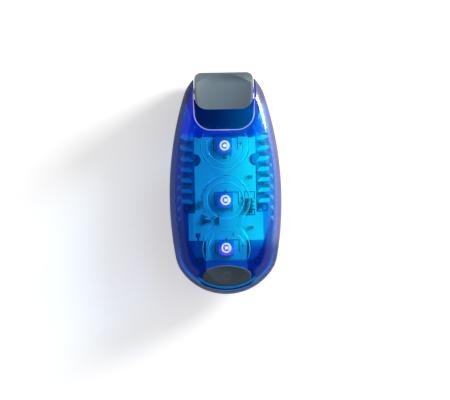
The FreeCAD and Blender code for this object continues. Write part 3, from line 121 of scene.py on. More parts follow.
def axes_of(tree, vector):
    """The X, Y and Z of a vector."""
    return add_node(tree, "ShaderNodeSeparateXYZ", Vector=vector).outputs


def ramp(tree, value, low, high, to_low=0.0, to_high=1.0, soft=True):
    """A number that goes from to_low to to_high while the value goes from low to high."""
    kind = "SMOOTHSTEP" if soft else "LINEAR"
    node = add_node(tree, "ShaderNodeMapRange", interpolation_type=kind, Value=value,
                    From_Min=low, From_Max=high, To_Min=to_low, To_Max=to_high)
    return node.outputs[0]


def mix_shaders(tree, factor, first, second):
    """A shader between those of two nodes."""
    node = tree.nodes.new("ShaderNodeMixShader")
    for socket, source in zip(node.inputs, (factor, first.outputs[0], second.outputs[0])):
        tree.links.new(source, socket)
    return node.outputs[0]


def place_object(name, data):
    """An object of the scene with the given mesh, curve or lamp."""
    thing = bpy.data.objects.new(name, data)
    bpy.context.scene.collection.objects.link(thing)
    return thing


PAPER_GLOW = 0.41
table_white, tree, surface = new_material("table_white")
sight = add_node(tree, "ShaderNodeLightPath").outputs
seen = maths(tree, "MAXIMUM", sight["Is Camera Ray"], sight["Is Transmission Ray"])
paper = add_node(tree, "ShaderNodeBsdfPrincipled", Base_Color=(0.8, 0.8, 0.8, 1), Roughness=0.9,
                 Specular_IOR_Level=0.2, Emission_Color=(1, 1, 1, 1),
                 Emission_Strength=maths(tree, "MULTIPLY", seen, PAPER_GLOW))
nothing = add_node(tree, "ShaderNodeBsdfTransparent")
from_below = add_node(tree, "ShaderNodeNewGeometry").outputs["Backfacing"]
tree.links.new(mix_shaders(tree, from_below, paper, nothing), surface)

TABLE_REACH = 3.0
TABLE_LEVEL = -2e-5
corners = [(TABLE_REACH * x, TABLE_REACH * y, TABLE_LEVEL)
           for x, y in ((-1, -1), (1, -1), (1, 1), (-1, 1))]
sheet = bpy.data.meshes.new("table")
sheet.from_pydata(corners, [], [(0, 1, 2, 3)])
sheet.materials.append(table_white)
place_object("table", sheet)

LAMP_PLACE = Vector((0.52, 0.30, 0.25))
LAMP_AIM = Vector((0.0, 0.0, 0.01))
lamp = place_object("lamp_right", bpy.data.lights.new("lamp_right", "AREA"))
lamp.data.shape = "RECTANGLE"
lamp.data.size = 0.17
lamp.data.size_y = 0.18
lamp.data.energy = 4.9
lamp.location = LAMP_PLACE
lamp.rotation_euler = (LAMP_PLACE - LAMP_AIM).to_track_quat("Z", "Y").to_euler()

# The tent is brighter towards the lamp, and open at the top, where the camera hangs in a dark room
WAY_TO_LAMP = (0.85, 0.53, 0.0)
world = bpy.data.worlds.new("surround")
bpy.context.scene.world = world
world.use_nodes = True
sky = world.node_tree
way_out = add_node(sky, "ShaderNodeTexCoord").outputs["Generated"]
open_top = ramp(sky, axes_of(sky, way_out)["Z"], 0.80, 0.95, 0.68, 0.03)
to_lamp = vectors(sky, "DOT_PRODUCT", way_out, WAY_TO_LAMP)
lamp_side = ramp(sky, to_lamp, -0.9, 0.9, 0.50, 1.40, soft=False)
tent = sky.nodes["Background"]
tent.inputs["Color"].default_value = (1.0, 0.985, 0.985, 1)
sky.links.new(maths(sky, "MULTIPLY", open_top, lamp_side), tent.inputs["Strength"])


# Front cover and rear case
# Two shells moulded in clear blue plastic, closed on a seal. Their colour is deepest where the plastic
# stands upright, as in the walls, prisms and rings, and paler where it lies flat over the board.
# Towards the lamp, on the right, their flat colour and matt walls are painted paler, and the cover carries
# painted glows and painted highlights.
def new_group(name, inputs, colours=(), values=()):
    """An empty node group, with the given inputs and their first values, and the given outputs."""
    group = bpy.data.node_groups.new(name, "ShaderNodeTree")
    for socket_name, value in inputs.items():
        kind = "NodeSocketColor" if isinstance(value, tuple) else "NodeSocketFloat"
        socket = group.interface.new_socket(socket_name, in_out="INPUT", socket_type=kind)
        socket.default_value = value
    for kind, names in (("NodeSocketColor", colours), ("NodeSocketFloat", values)):
        for socket_name in names:
            group.interface.new_socket(socket_name, in_out="OUTPUT", socket_type=kind)
    start = group.nodes.new("NodeGroupInput")
    end = group.nodes.new("NodeGroupOutput")
    return group, start.outputs, end.inputs


def place_group(tree, group, **values):
    """The outputs of a group that is placed in a material with its own values."""
    node = tree.nodes.new("ShaderNodeGroup")
    node.node_tree = group
    for name, value in values.items():
        set_input(tree, node.inputs[name.replace("_", " ")], value)
    return node.outputs


def mix_colours(tree, factor, first, second):
    """A colour between two; each of the three is a value or a socket."""
    node = add_node(tree, "ShaderNodeMix", data_type="RGBA")
    for number, value in ((0, factor), (6, first), (7, second)):
        set_input(tree, node.inputs[number], value)
    return node.outputs[2]


def product(tree, *masks):
    """Masks multiplied with each other."""
    total = masks[0]
    for mask in masks[1:]:
        total = maths(tree, "MULTIPLY", total, mask)
    return total


def own_place(tree):
    """Where a point of the surface lies in the part's frame."""
    return add_node(tree, "ShaderNodeTexCoord").outputs["Object"]


def noise(tree, place, **values):
    """Cloudy noise round 0.5 over a place."""
    return add_node(tree, "ShaderNodeTexNoise", Vector=place, **values).outputs["Fac"]


# Depth of the dye: how upright the surface stands, with slow flow streaks of the moulding. To the
# right, towards the lamp, the flat colour is painted paler: a painted light.
dye_depth, start, end = new_group(
    "dye_depth",
    {"Flat Color": (0.1, 0.5, 0.9, 1), "Pale Color": (0.1, 0.5, 0.9, 1), "Upright Color": (0.1, 0.1, 0.6, 1),
     "Streaks": 0.1},
    colours=["Color"], values=["Gate Side"])
place = own_place(dye_depth)
spot = axes_of(dye_depth, place)
turned = axes_of(dye_depth, add_node(dye_depth, "ShaderNodeNewGeometry").outputs["Normal"])
upright = ramp(dye_depth, maths(dye_depth, "ABSOLUTE", turned["Z"]), 0.6, 0.1)
flow = maths(dye_depth, "SUBTRACT", noise(dye_depth, place, Scale=120.0, Detail=3.0), 0.5)
streaks = maths(dye_depth, "MULTIPLY", flow, start["Streaks"])
depth = maths(dye_depth, "ADD", upright, streaks, clamp=True)
# Painted lit side: the right part, where the flat colour turns to the paler one as painted light
painted_lit_side = product(dye_depth, ramp(dye_depth, spot["X"], -0.003, 0.011),
                    ramp(dye_depth, spot["Y"], -0.0225, -0.017))
flat = mix_colours(dye_depth, painted_lit_side, start["Flat Color"], start["Pale Color"])
dye_depth.links.new(mix_colours(dye_depth, depth, flat, start["Upright Color"]), end["Color"])
dye_depth.links.new(painted_lit_side, end["Gate Side"])

# Handling marks: sparse fine scratches and faint smears, as a roughness and a small bump height
handling, start, end = new_group("handling_marks", {"Roughness": 0.05, "Smear": 0.05, "Scale": 60.0},
                                 values=["Roughness", "Height"])
place = own_place(handling)
smears = noise(handling, place, Scale=start["Scale"], Detail=4.0, Roughness=0.6)
smeared = maths(handling, "MULTIPLY", smears, start["Smear"])
handling.links.new(maths(handling, "ADD", start["Roughness"], smeared), end["Roughness"])
stretched = add_node(handling, "ShaderNodeMapping", Vector=place, Rotation=(0.0, 0.0, 0.6),
                     Scale=(900.0, 60.0, 300.0)).outputs[0]
hairs = noise(handling, stretched, Scale=1.0, Detail=2.0)
handling.links.new(ramp(handling, hairs, 0.68, 0.76, soft=False), end["Height"])

# Outer side walls: a mask of the upright faces that look outwards along the light's outline. They
# have a fine matt finish, which runs out towards the button's end, while all the rest is polished.
# Near Edge is a mask of where the plastic looks thickest: along the edge, at the head and from the
# button's collar on; in the left row of prisms and beyond, away from the lamp, it adds a painted shade.
# Button End is one of the last few millimetres.
HALF_WIDTH = 0.0185
HALF_LENGTH = 0.0366
side_walls, start, end = new_group("side_walls", {"Reach": 0.85}, values=["Mask", "Near Edge", "Button End"])
place = own_place(side_walls)
spot = axes_of(side_walls, place)
in_plan = vectors(side_walls, "MULTIPLY", place, (1 / HALF_WIDTH, 1 / HALF_LENGTH, 0.0))
far_out = maths(side_walls, "GREATER_THAN", vectors(side_walls, "LENGTH", in_plan), start["Reach"])
normal = add_node(side_walls, "ShaderNodeNewGeometry").outputs["True Normal"]
steep = ramp(side_walls, vectors(side_walls, "DOT_PRODUCT", in_plan, normal), 0.47, 0.68)
before_end = ramp(side_walls, spot["Y"], -0.030, -0.017)
side_walls.links.new(product(side_walls, far_out, steep, before_end), end["Mask"])
head = ramp(side_walls, spot["Y"], 0.0150, 0.0160, to_high=0.6)
left_row_shade = ramp(side_walls, spot["X"], -0.0103, -0.0112, to_high=0.55)
by_collar = ramp(side_walls, spot["Y"], -0.0245, -0.0255)
deepest = far_out
for deep in (head, left_row_shade, by_collar):
    deepest = maths(side_walls, "MAXIMUM", deepest, deep)
side_walls.links.new(deepest, end["Near Edge"])
side_walls.links.new(ramp(side_walls, spot["Y"], -0.0285, -0.0335), end["Button End"])

# Rim of the thumb recess: a mask of its rounded edge, where a painted highlight glows, and one of the
# crown's top at the head, where a painted light glows.
# Heights are levelled by the crown's two curves, so that all of the crown has one level.
RECESS_MIDDLE = (0.0, 0.024, 0.0)
CROWN_MIDDLE = (0.0, -0.004, 0.0)
CROWN_ACROSS = 0.11
CROWN_ALONG = 0.19
painted_rim_glow, start, end = new_group("painted_rim_glow", {"Level": 0.0225}, values=["Mask", "Crown"])
place = own_place(painted_rim_glow)
spot = axes_of(painted_rim_glow, place)
from_middle = vectors(painted_rim_glow, "SUBTRACT", place, RECESS_MIDDLE)
in_plan = vectors(painted_rim_glow, "MULTIPLY", from_middle, (1.0, 1.0, 0.0))
normal = add_node(painted_rim_glow, "ShaderNodeNewGeometry").outputs["Normal"]
outward = vectors(painted_rim_glow, "DOT_PRODUCT", vectors(painted_rim_glow, "NORMALIZE", in_plan), normal)
inward = ramp(painted_rim_glow, outward, -0.25, -0.45)
slope = ramp(painted_rim_glow, axes_of(painted_rim_glow, normal)["Z"], 0.25, 0.45)
from_crown = vectors(painted_rim_glow, "SUBTRACT", place, CROWN_MIDDLE)
squared = vectors(painted_rim_glow, "MULTIPLY", from_crown, from_crown)
drop = vectors(painted_rim_glow, "DOT_PRODUCT", squared, (0.5 / CROWN_ACROSS, 0.5 / CROWN_ALONG, 0.0))
levelled = maths(painted_rim_glow, "ADD", drop, spot["Z"])
rim_level = ramp(painted_rim_glow, spot["Y"], 0.020, 0.027, start["Level"], 0.0195, soft=False)
high_up = maths(painted_rim_glow, "GREATER_THAN", levelled, rim_level)
at_head = maths(painted_rim_glow, "GREATER_THAN", spot["Y"], 0.0155)
painted_rim_glow.links.new(product(painted_rim_glow, inward, slope, high_up, at_head), end["Mask"])
# Painted head glow: the crown's top at the head, painted lit
painted_head_glow = product(painted_rim_glow, ramp(painted_rim_glow, levelled, 0.0215, 0.0226),
                     ramp(painted_rim_glow, spot["Y"], 0.0145, 0.0165))
painted_rim_glow.links.new(painted_head_glow, end["Crown"])

# Prism rows: a mask where painted light glows on the prisms' slanted facets, standing in for light that
# they turn upwards from the side, and one of painted glints on the flat undersides of the slanted bars
# outside them, both as seen from inside the plastic
BARS_FROM = 0.01435
BARS_TO = 0.0167
BARS_ABOVE = 0.0165
LEVEL_FACE = 0.985
painted_prism_glow, start, end = new_group("painted_prism_glow", {"From": 0.0108, "To": 0.0160}, values=["Mask", "Bars"])
spot = axes_of(painted_prism_glow, own_place(painted_prism_glow))
turned = axes_of(painted_prism_glow, add_node(painted_prism_glow, "ShaderNodeNewGeometry").outputs["Normal"])
aside = maths(painted_prism_glow, "ABSOLUTE", spot["X"])
facets = product(painted_prism_glow, ramp(painted_prism_glow, turned["Y"], 0.15, 0.45),
                 maths(painted_prism_glow, "GREATER_THAN", aside, start["From"]),
                 maths(painted_prism_glow, "LESS_THAN", aside, start["To"]))
painted_prism_glow.links.new(facets, end["Mask"])
bars = product(painted_prism_glow, maths(painted_prism_glow, "GREATER_THAN", turned["Z"], LEVEL_FACE),
               maths(painted_prism_glow, "GREATER_THAN", aside, BARS_FROM),
               maths(painted_prism_glow, "LESS_THAN", aside, BARS_TO),
               maths(painted_prism_glow, "GREATER_THAN", spot["Z"], BARS_ABOVE))
painted_prism_glow.links.new(bars, end["Bars"])


def bumped(tree, height, strength, distance, invert=False):
    """The normal of a surface with small heights on it."""
    return add_node(tree, "ShaderNodeBump", Height=height, Strength=strength, Distance=distance,
                    invert=invert).outputs[0]


def unless_mirrored(tree, direct, mirrored):
    """A light's colour as seen directly, and another one in its mirror images."""
    bounces = add_node(tree, "ShaderNodeLightPath").outputs["Glossy Depth"]
    return mix_colours(tree, bounces, direct, mirrored)


def let_lamps_in(tree, glass, tint=(1, 1, 1, 1)):
    """A clear shader that throws no dark shadow: lamps shine through it, tinted."""
    shadow = add_node(tree, "ShaderNodeLightPath").outputs["Is Shadow Ray"]
    return mix_shaders(tree, shadow, glass, add_node(tree, "ShaderNodeBsdfTransparent", Color=tint))


BLACK = (0.0, 0.0, 0.0, 1)


def clear_plastic(name, clearness, lamp_tint, flat, pale, upright, core, core_edge, core_end, matt,
                  matt_pale, lights=None):
    """Dyed clear plastic with matt side walls.

    Its skin has the deeper colours, and the core's colours tint what leaves it again. On the lamp's
    side the flat colour and the matt walls are painted paler. The lights are emission colours of painted
    light and painted highlights on the skin, the crown's head, the recess rim and the matt walls, and,
    seen from within, on the prism facets and the bar undersides; each side has its own."""
    material, tree, surface = new_material(name)
    dye = place_group(tree, dye_depth, Flat_Color=flat, Pale_Color=pale, Upright_Color=upright, Streaks=0.1)
    sides = place_group(tree, side_walls, Reach=0.85)
    marks = place_group(tree, handling, Roughness=0.015, Smear=0.05, Scale=70.0)
    leaving = add_node(tree, "ShaderNodeNewGeometry").outputs["Backfacing"]
    edge_core = mix_colours(tree, sides["Button End"], core_edge, core_end)
    deep = mix_colours(tree, sides["Near Edge"], core, edge_core)
    polished = mix_colours(tree, leaving, dye["Color"], deep)
    # On the lamp's side the matt walls take a paler colour: a painted light
    matt_wall = mix_colours(tree, dye["Gate Side"], matt, matt_pale)
    shell = add_node(tree, "ShaderNodeBsdfPrincipled", IOR=1.49, Transmission_Weight=clearness,
                     Base_Color=mix_colours(tree, sides["Mask"], polished, matt_wall),
                     Roughness=ramp(tree, sides["Mask"], 0.0, 1.0, marks["Roughness"], 0.5, soft=False),
                     Coat_Weight=maths(tree, "MULTIPLY", sides["Mask"], 0.2), Coat_Roughness=0.35,
                     Normal=bumped(tree, marks["Height"], strength=0.15, distance=0.00002, invert=True))
    # The lights are painted: emission colours of painted light and painted highlights, brighter on the right
    if lights:
        edge = place_group(tree, painted_rim_glow, Level=0.0226)
        facets = place_group(tree, painted_prism_glow, From=0.0108, To=0.0143)
        lit_side_mask = dye["Gate Side"]
        wall = mix_colours(tree, lit_side_mask, lights["left_wall"], lights["right_wall"])
        skin = mix_colours(tree, edge["Crown"], lights["skin"], lights["head"])
        skin = mix_colours(tree, sides["Mask"], skin, wall)
        outside = mix_colours(tree, edge["Mask"], skin, lights["rim"])
        prisms = mix_colours(tree, lit_side_mask, lights["left_prisms"], lights["right_prisms"])
        bars = mix_colours(tree, lit_side_mask, lights["left_bars"], lights["right_bars"])
        inside = mix_colours(tree, facets["Mask"], BLACK, prisms)
        inside = unless_mirrored(tree, mix_colours(tree, facets["Bars"], inside, bars), BLACK)
        tree.links.new(mix_colours(tree, leaving, outside, inside), shell.inputs["Emission Color"])
        shell.inputs["Emission Strength"].default_value = 1.0
    tree.links.new(let_lamps_in(tree, shell, lamp_tint), surface)
    return material


def dress(material, *names):
    """Gives CAD nodes their finished material."""
    for name in names:
        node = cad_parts[name]
        node.data.materials.clear()
        node.data.materials.append(material)


# For both shells, pale and matt_pale are painted paler colours on the lamp's side; the cover's lights are
# painted light, and on the recess rim and the right bars painted highlights.
cover_blue = clear_plastic(
    "cover_blue", clearness=0.96, lamp_tint=(0.85, 0.95, 0.99, 1),
    flat=(0.006, 0.17, 0.48, 1), pale=(0.006, 0.85, 0.97, 1), upright=(0.003, 0.06, 0.60, 1),
    core=(0.02, 0.85, 1.0, 1), core_edge=(0.006, 0.07, 0.50, 1), core_end=(0.01, 0.11, 0.18, 1),
    matt=(0.02, 0.03, 0.20, 1), matt_pale=(0.56, 0.43, 0.80, 1),
    lights={"skin": (0.0, 0.004, 0.045, 1), "head": (0.0, 0.010, 0.36, 1), "rim": (0.38, 0.32, 0.66, 1),
            "left_wall": (0.0, 0.008, 0.04, 1), "right_wall": (0.065, 0.046, 0.05, 1),
            "left_prisms": (0.0, 0.15, 0.36, 1), "right_prisms": (0.0, 0.55, 0.72, 1),
            "left_bars": (0.0, 0.12, 0.40, 1), "right_bars": (0.9, 0.36, 0.58, 1)})
case_blue = clear_plastic(
    "case_blue", clearness=0.92, lamp_tint=(0.45, 0.42, 0.40, 1),
    flat=(0.002, 0.03, 0.36, 1), pale=(0.002, 0.35, 0.85, 1), upright=(0.002, 0.02, 0.36, 1),
    core=(0.008, 0.22, 0.80, 1), core_edge=(0.006, 0.07, 0.50, 1), core_end=(0.01, 0.20, 0.35, 1),
    matt=(0.03, 0.032, 0.26, 1), matt_pale=(0.46, 0.31, 0.68, 1))
dress(cover_blue, "front_cover")
dress(case_blue, "rear_case")


# Clip lever, push button and battery cover
# All are moulded in slate grey plastic with a fine spark-eroded grain, worn a little smoother and
# paler on edges and where the thumb rubs, with a few specks of dust. The lever's tab is also painted
# paler towards its right, a painted light.
grain, start, end = new_group(
    "moulded_grain",
    {"Color": (0.1, 0.1, 0.1, 1), "Worn Color": (0.2, 0.2, 0.2, 1), "Dust Color": (0.5, 0.5, 0.5, 1),
     "Grain Scale": 3000.0, "Roughness": 0.45},
    colours=["Color"], values=["Roughness", "Height"])
place = own_place(grain)
clouds = noise(grain, place, Scale=180.0, Detail=5.0)
specks = ramp(grain, noise(grain, place, Scale=2200.0, Detail=0.0), 0.78, 0.84, to_high=0.35, soft=False)
pointed = add_node(grain, "ShaderNodeNewGeometry").outputs["Pointiness"]
rubbed_edges = maths(grain, "MULTIPLY", ramp(grain, pointed, 0.52, 0.62, soft=False), clouds)
tone = ramp(grain, clouds, 0.0, 1.0, to_high=0.22, soft=False)
worn = maths(grain, "ADD", rubbed_edges, tone, clamp=True)
base = mix_colours(grain, worn, start["Color"], start["Worn Color"])
grain.links.new(mix_colours(grain, specks, base, start["Dust Color"]), end["Color"])
shine = ramp(grain, clouds, 0.0, 1.0, 0.06, -0.06, soft=False)
grain.links.new(maths(grain, "ADD", start["Roughness"], shine), end["Roughness"])
grain.links.new(noise(grain, place, Scale=start["Grain Scale"], Detail=2.0), end["Height"])

# Thumb wear and painted light: a soft mask of the tab's upper side, worn pale by the thumb, that rises
# towards the right as a painted light against the shade on the tab's dish
thumb_wear_and_light, start, end = new_group("thumb_wear_and_light", {}, values=["Mask"])
spot = axes_of(thumb_wear_and_light, own_place(thumb_wear_and_light))
turned = axes_of(thumb_wear_and_light, add_node(thumb_wear_and_light, "ShaderNodeNewGeometry").outputs["Normal"])
wear_and_light = product(thumb_wear_and_light, ramp(thumb_wear_and_light, spot["X"], -0.0095, 0.0100, soft=False),
               ramp(thumb_wear_and_light, spot["Y"], 0.0180, 0.0230), ramp(thumb_wear_and_light, spot["Y"], 0.0355, 0.0325),
               ramp(thumb_wear_and_light, turned["Z"], 0.2, 0.6))
thumb_wear_and_light.links.new(wear_and_light, end["Mask"])


def grained_plastic(name, colour, worn, dust, scale=3000.0, roughness=0.45, rubbed_and_lit=None):
    """Grained plastic; where a colour for it is given, the tab's upper side turns to it, worn and painted
    lighter towards the right.
    """
    material, tree, surface = new_material(name)
    look = place_group(tree, grain, Color=colour, Worn_Color=worn, Dust_Color=dust, Grain_Scale=scale,
                       Roughness=roughness)
    skin = look["Color"]
    if rubbed_and_lit:
        skin = mix_colours(tree, place_group(tree, thumb_wear_and_light)["Mask"], skin, rubbed_and_lit)
    body = add_node(tree, "ShaderNodeBsdfPrincipled", Base_Color=skin, Roughness=look["Roughness"],
                    Normal=bumped(tree, look["Height"], strength=0.5, distance=0.00003))
    tree.links.new(body.outputs[0], surface)
    return material


# The slate tab's paler colour is partly wear, partly a painted light towards its right
slate = grained_plastic("slate_plastic", colour=(0.070, 0.105, 0.126, 1), worn=(0.15, 0.20, 0.23, 1),
                        dust=(0.35, 0.4, 0.43, 1), rubbed_and_lit=(0.20, 0.285, 0.36, 1))
dark_slate = grained_plastic("button_plastic", colour=(0.024, 0.037, 0.05, 1),
                             worn=(0.062, 0.086, 0.105, 1), dust=(0.2, 0.24, 0.26, 1),
                             scale=2600.0, roughness=0.5)
dress(slate, "clip_lever", "battery_cover")
dress(dark_slate, "button")


# Circuit board
# White solder mask over glass fibre, with paler and darker clouds of glue and flux, cut round the
# cover's pins.
board_white, tree, surface = new_material("board_white")
place = own_place(tree)
weave = noise(tree, place, Scale=1600.0, Detail=1.0)
film = ramp(tree, noise(tree, place, Scale=140.0, Detail=4.0), 0.4, 0.7, soft=False)
solder_mask = add_node(tree, "ShaderNodeBsdfPrincipled", Roughness=0.38,
                       Base_Color=mix_colours(tree, film, (0.85, 0.86, 0.84, 1), (0.70, 0.76, 0.74, 1)),
                       Normal=bumped(tree, weave, strength=0.3, distance=0.00002))
tree.links.new(solder_mask.outputs[0], surface)
dress(board_white, "circuit_board")

# Printing on the board
# Dark screen-printed frames round the LEDs and the chip, a plus sign by each LED and its number. The
# ink stands a few hundredths of a millimetre high.
PRINT_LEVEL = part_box("circuit_board")[1].z
PRINT_LIFT = 0.000005
PRINT_TOP = 0.00003
PRINT_WIDTH = 0.00028
led_middles = {number: sum(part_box(f"led_{number}"), Vector()).y / 2 for number in "123"}
print_ink = grained_plastic("print_ink", colour=(0.012, 0.02, 0.05, 1), worn=(0.03, 0.05, 0.1, 1),
                            dust=(0.03, 0.05, 0.1, 1), roughness=0.6)
ink = bmesh.new()


def print_line(x, y, to_x, to_y, width=PRINT_WIDTH):
    """A printed line between two points of the board."""
    first, last = Vector((x, y, 0)), Vector((to_x, to_y, 0))
    along = (last - first).normalized() * (width / 2)
    side = Vector((-along.y, along.x, 0))
    corners = (first - along - side, last + along - side, last + along + side, first - along + side)
    low, high = ([ink.verts.new(corner + Vector((0, 0, PRINT_LEVEL + lift))) for corner in corners]
                 for lift in (PRINT_LIFT, PRINT_TOP))
    ink.faces.new(low[::-1])
    ink.faces.new(high)
    for n in range(4):
        ink.faces.new((low[n], low[(n + 1) % 4], high[(n + 1) % 4], high[n]))


FRAME_LEFT = -0.0037
FRAME_RIGHT = 0.0042
FRAME_RISE = 0.0026
FRAME_FALL = 0.0016
FRAME_HOOK = 0.0007
RIGHT_SHORTER = 0.0003
TICK_GAP = 0.0001
TICK_LENGTH = 0.0004
TICK_WIDTH = 0.0005
PLUS_AT = Vector((0.0053, 0.0005))
PLUS_ARM = 0.0005
PLUS_WIDTH = 0.0002
for y in led_middles.values():
    top = y + FRAME_RISE
    foot = y - FRAME_FALL
    tick = top + TICK_GAP
    plus = y + PLUS_AT.y
    print_line(FRAME_LEFT, top, FRAME_RIGHT, top)
    print_line(FRAME_LEFT, top, FRAME_LEFT, foot)
    print_line(FRAME_LEFT, foot, FRAME_LEFT + FRAME_HOOK, foot)
    print_line(FRAME_RIGHT, top, FRAME_RIGHT, foot + RIGHT_SHORTER)
    print_line(0.0, tick, 0.0, tick + TICK_LENGTH, TICK_WIDTH)
    print_line(PLUS_AT.x - PLUS_ARM, plus, PLUS_AT.x + PLUS_ARM, plus, PLUS_WIDTH)
    print_line(PLUS_AT.x, plus - PLUS_ARM, PLUS_AT.x, plus + PLUS_ARM, PLUS_WIDTH)

CHIP_FRAME_X = (0.0062, 0.0095)
CHIP_FRAME_Y = (-0.0028, -0.0104)
CHIP_FRAME_GAP = (-0.0050, -0.0086)
for x in CHIP_FRAME_X:
    for y, gap_edge in zip(CHIP_FRAME_Y, CHIP_FRAME_GAP):
        print_line(x, y, x, gap_edge)
for y in CHIP_FRAME_Y:
    print_line(CHIP_FRAME_X[0], y, CHIP_FRAME_X[1], y)
mesh = bpy.data.meshes.new("board_print")
ink.to_mesh(mesh)
ink.free()
mesh.materials.append(print_ink)
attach(place_object("board_print", mesh), "case")

DIGIT_HEIGHT = 0.0017
DIGIT_LIFT = 0.00002
for digit, x, from_led in (("1", 0.0020, -0.0031), ("2", 0.0019, -0.0032), ("3", 0.0023, 0.0045)):
    letter = bpy.data.curves.new(f"digit_{digit}", "FONT")
    letter.body = digit
    letter.size = 1.0
    letter.extrude = 0.005
    letter.offset = 0.02
    letter.align_x = "CENTER"
    letter.align_y = "CENTER"
    letter.materials.append(print_ink)
    printed = place_object(f"board_digit_{digit}", letter)
    printed.location = (x, led_middles[digit] + from_led, PRINT_LEVEL + DIGIT_LIFT)
    printed.scale = (DIGIT_HEIGHT, DIGIT_HEIGHT, DIGIT_HEIGHT)
    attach(printed, "case")


# LEDs
# White moulded packages with a round cup. The lit chip stands in the cup under a clear dome, and the
# cup's floor shows violet round the chip. Their mirror images in the cover are dim and cyan.
CHIP_REACH = 0.0004
FLOOR_REACH = 0.00102
CUP_REACH = 0.00163
CUP_SOFT = 0.0001
RIM_FROM = 0.0017
RIM_TO = 0.0024
RIM_SOFT = 0.0009
# What glows here is strongest in red, because the blue cover takes nearly all of the red away
LIT_CUP = (75.0, 2.2, 1.5, 1)
LIT_CHIP = ((75.0, 2.4, 1.6, 1), (60.0, 2.0, 1.4, 1))
MIRRORED = (0.5, 0.9, 1.0, 1)


def band(tree, source, low, high, soft):
    """A mask that is 1 where source lies between low and high, with soft ends."""
    return product(tree, ramp(tree, source, low - soft / 2, low + soft / 2),
                   ramp(tree, source, high + soft / 2, high - soft / 2))


def led_package(name, y, halo):
    """Milky plastic; the lit cup's wall glows white, its floor violet, and its rim by the halo."""
    material, tree, surface = new_material(name)
    place = own_place(tree)
    from_middle = vectors(tree, "SUBTRACT", place, (0.0, y, 0.0))
    in_plan = vectors(tree, "MULTIPLY", from_middle, (1.0, 1.0, 0.0))
    reach = vectors(tree, "LENGTH", in_plan)
    spot = axes_of(tree, in_plan)
    # The package is painted paler towards the right: a painted light from the lamp's side
    across = ramp(tree, spot["X"], -0.0016, 0.0022, soft=False)
    milky_lit_right = mix_colours(tree, across, (0.40, 0.12, 0.90, 1), (0.50, 0.55, 1.0, 1))
    mottled = mix_colours(tree, noise(tree, place, Scale=1200.0, Detail=3.0), milky_lit_right, (0.40, 0.28, 0.85, 1))
    low_side = ramp(tree, spot["Y"], 0.0006, -0.0012, soft=False)
    below = product(tree, band(tree, reach, RIM_FROM, RIM_TO, RIM_SOFT), low_side)
    rim_glow = mix_colours(tree, below, BLACK, (24.0 * halo, 0.0, 0.9 * halo, 1))
    closed = ramp(tree, spot["X"], 0.0007, 0.0005, soft=False)
    violet = mix_colours(tree, closed, (60.0, 1.8, 1.3, 1), (14.0, 0.0, 0.4, 1))
    lit = mix_colours(tree, band(tree, reach, CHIP_REACH, FLOOR_REACH, CUP_SOFT), rim_glow, violet)
    lit = mix_colours(tree, band(tree, reach, FLOOR_REACH, CUP_REACH, CUP_SOFT), lit, LIT_CUP)
    cup = add_node(tree, "ShaderNodeBsdfPrincipled", Roughness=0.35, Base_Color=mottled,
                   Emission_Color=unless_mirrored(tree, lit, MIRRORED), Emission_Strength=1.0)
    tree.links.new(cup.outputs[0], surface)
    return material


for number, halo in (("1", 0.12), ("2", 0.12), ("3", 0.6)):
    dress(led_package(f"package_{number}", led_middles[number], halo), f"led_{number}")

chip_light, tree, surface = new_material("chip_light")
lit = mix_colours(tree, noise(tree, own_place(tree), Scale=2500.0, Detail=1.0), *LIT_CHIP)
die = add_node(tree, "ShaderNodeBsdfPrincipled", Roughness=0.3, Base_Color=(0.9, 0.8, 0.5, 1),
               Emission_Color=unless_mirrored(tree, lit, MIRRORED), Emission_Strength=1.0)
tree.links.new(die.outputs[0], surface)
dress(chip_light, "led_chips")

lens_clear, tree, surface = new_material("lens_clear")
marks = place_group(tree, handling, Roughness=0.01, Smear=0.03, Scale=900.0)
dome = add_node(tree, "ShaderNodeBsdfPrincipled", IOR=1.45, Transmission_Weight=1.0,
                Base_Color=(0.98, 0.98, 1.0, 1), Roughness=marks["Roughness"])
tree.links.new(let_lamps_in(tree, dome), surface)
dress(lens_clear, "led_lenses")


# Small parts on the board
# A moulded chip, dark resistors and a brown capacitor, all machine-placed, and the black switch with
# its plunger under the button.
black_mould = grained_plastic("black_mould", colour=(0.012, 0.012, 0.014, 1), worn=(0.05, 0.05, 0.055, 1),
                              dust=(0.1, 0.1, 0.1, 1), scale=4500.0, roughness=0.5)
resistor_film = grained_plastic("resistor_film", colour=(0.015, 0.018, 0.03, 1), worn=(0.3, 0.3, 0.3, 1),
                                dust=(0.1, 0.1, 0.1, 1), scale=4000.0, roughness=0.35)
fired_clay = grained_plastic("fired_clay", colour=(0.35, 0.24, 0.15, 1), worn=(0.5, 0.4, 0.3, 1),
                             dust=(0.5, 0.45, 0.4, 1), scale=5000.0, roughness=0.55)
plunger_nylon = grained_plastic("plunger_nylon", colour=(0.25, 0.25, 0.24, 1), worn=(0.4, 0.4, 0.38, 1),
                                dust=(0.5, 0.5, 0.5, 1), scale=4000.0, roughness=0.4)
dress(black_mould, "controller_chip", "switch_body")
dress(resistor_film, "chip_resistors")
dress(fired_clay, "capacitor")
dress(plunger_nylon, "switch_plunger")


# Metal parts
# Ground steel pin, drawn spring wire, plated contacts, the coin cell's can and tinned solder. Each
# has fine lines along the way it was worked, and thin stains.
def worked_metal(name, colour, stain, stretch, roughness):
    """Bare metal; its lines are finest across the axes with a large stretch."""
    material, tree, surface = new_material(name)
    place = own_place(tree)
    along = add_node(tree, "ShaderNodeMapping", Vector=place, Scale=stretch).outputs[0]
    lines = noise(tree, along, Scale=1.0, Detail=3.0)
    spots = ramp(tree, noise(tree, place, Scale=260.0, Detail=5.0), 0.5, 0.75, soft=False)
    metal = add_node(tree, "ShaderNodeBsdfPrincipled", Metallic=1.0,
                     Base_Color=mix_colours(tree, spots, colour, stain),
                     Roughness=ramp(tree, lines, 0.0, 1.0, roughness - 0.08, roughness + 0.12, soft=False),
                     Normal=bumped(tree, lines, strength=0.25, distance=0.00001))
    tree.links.new(metal.outputs[0], surface)
    return material


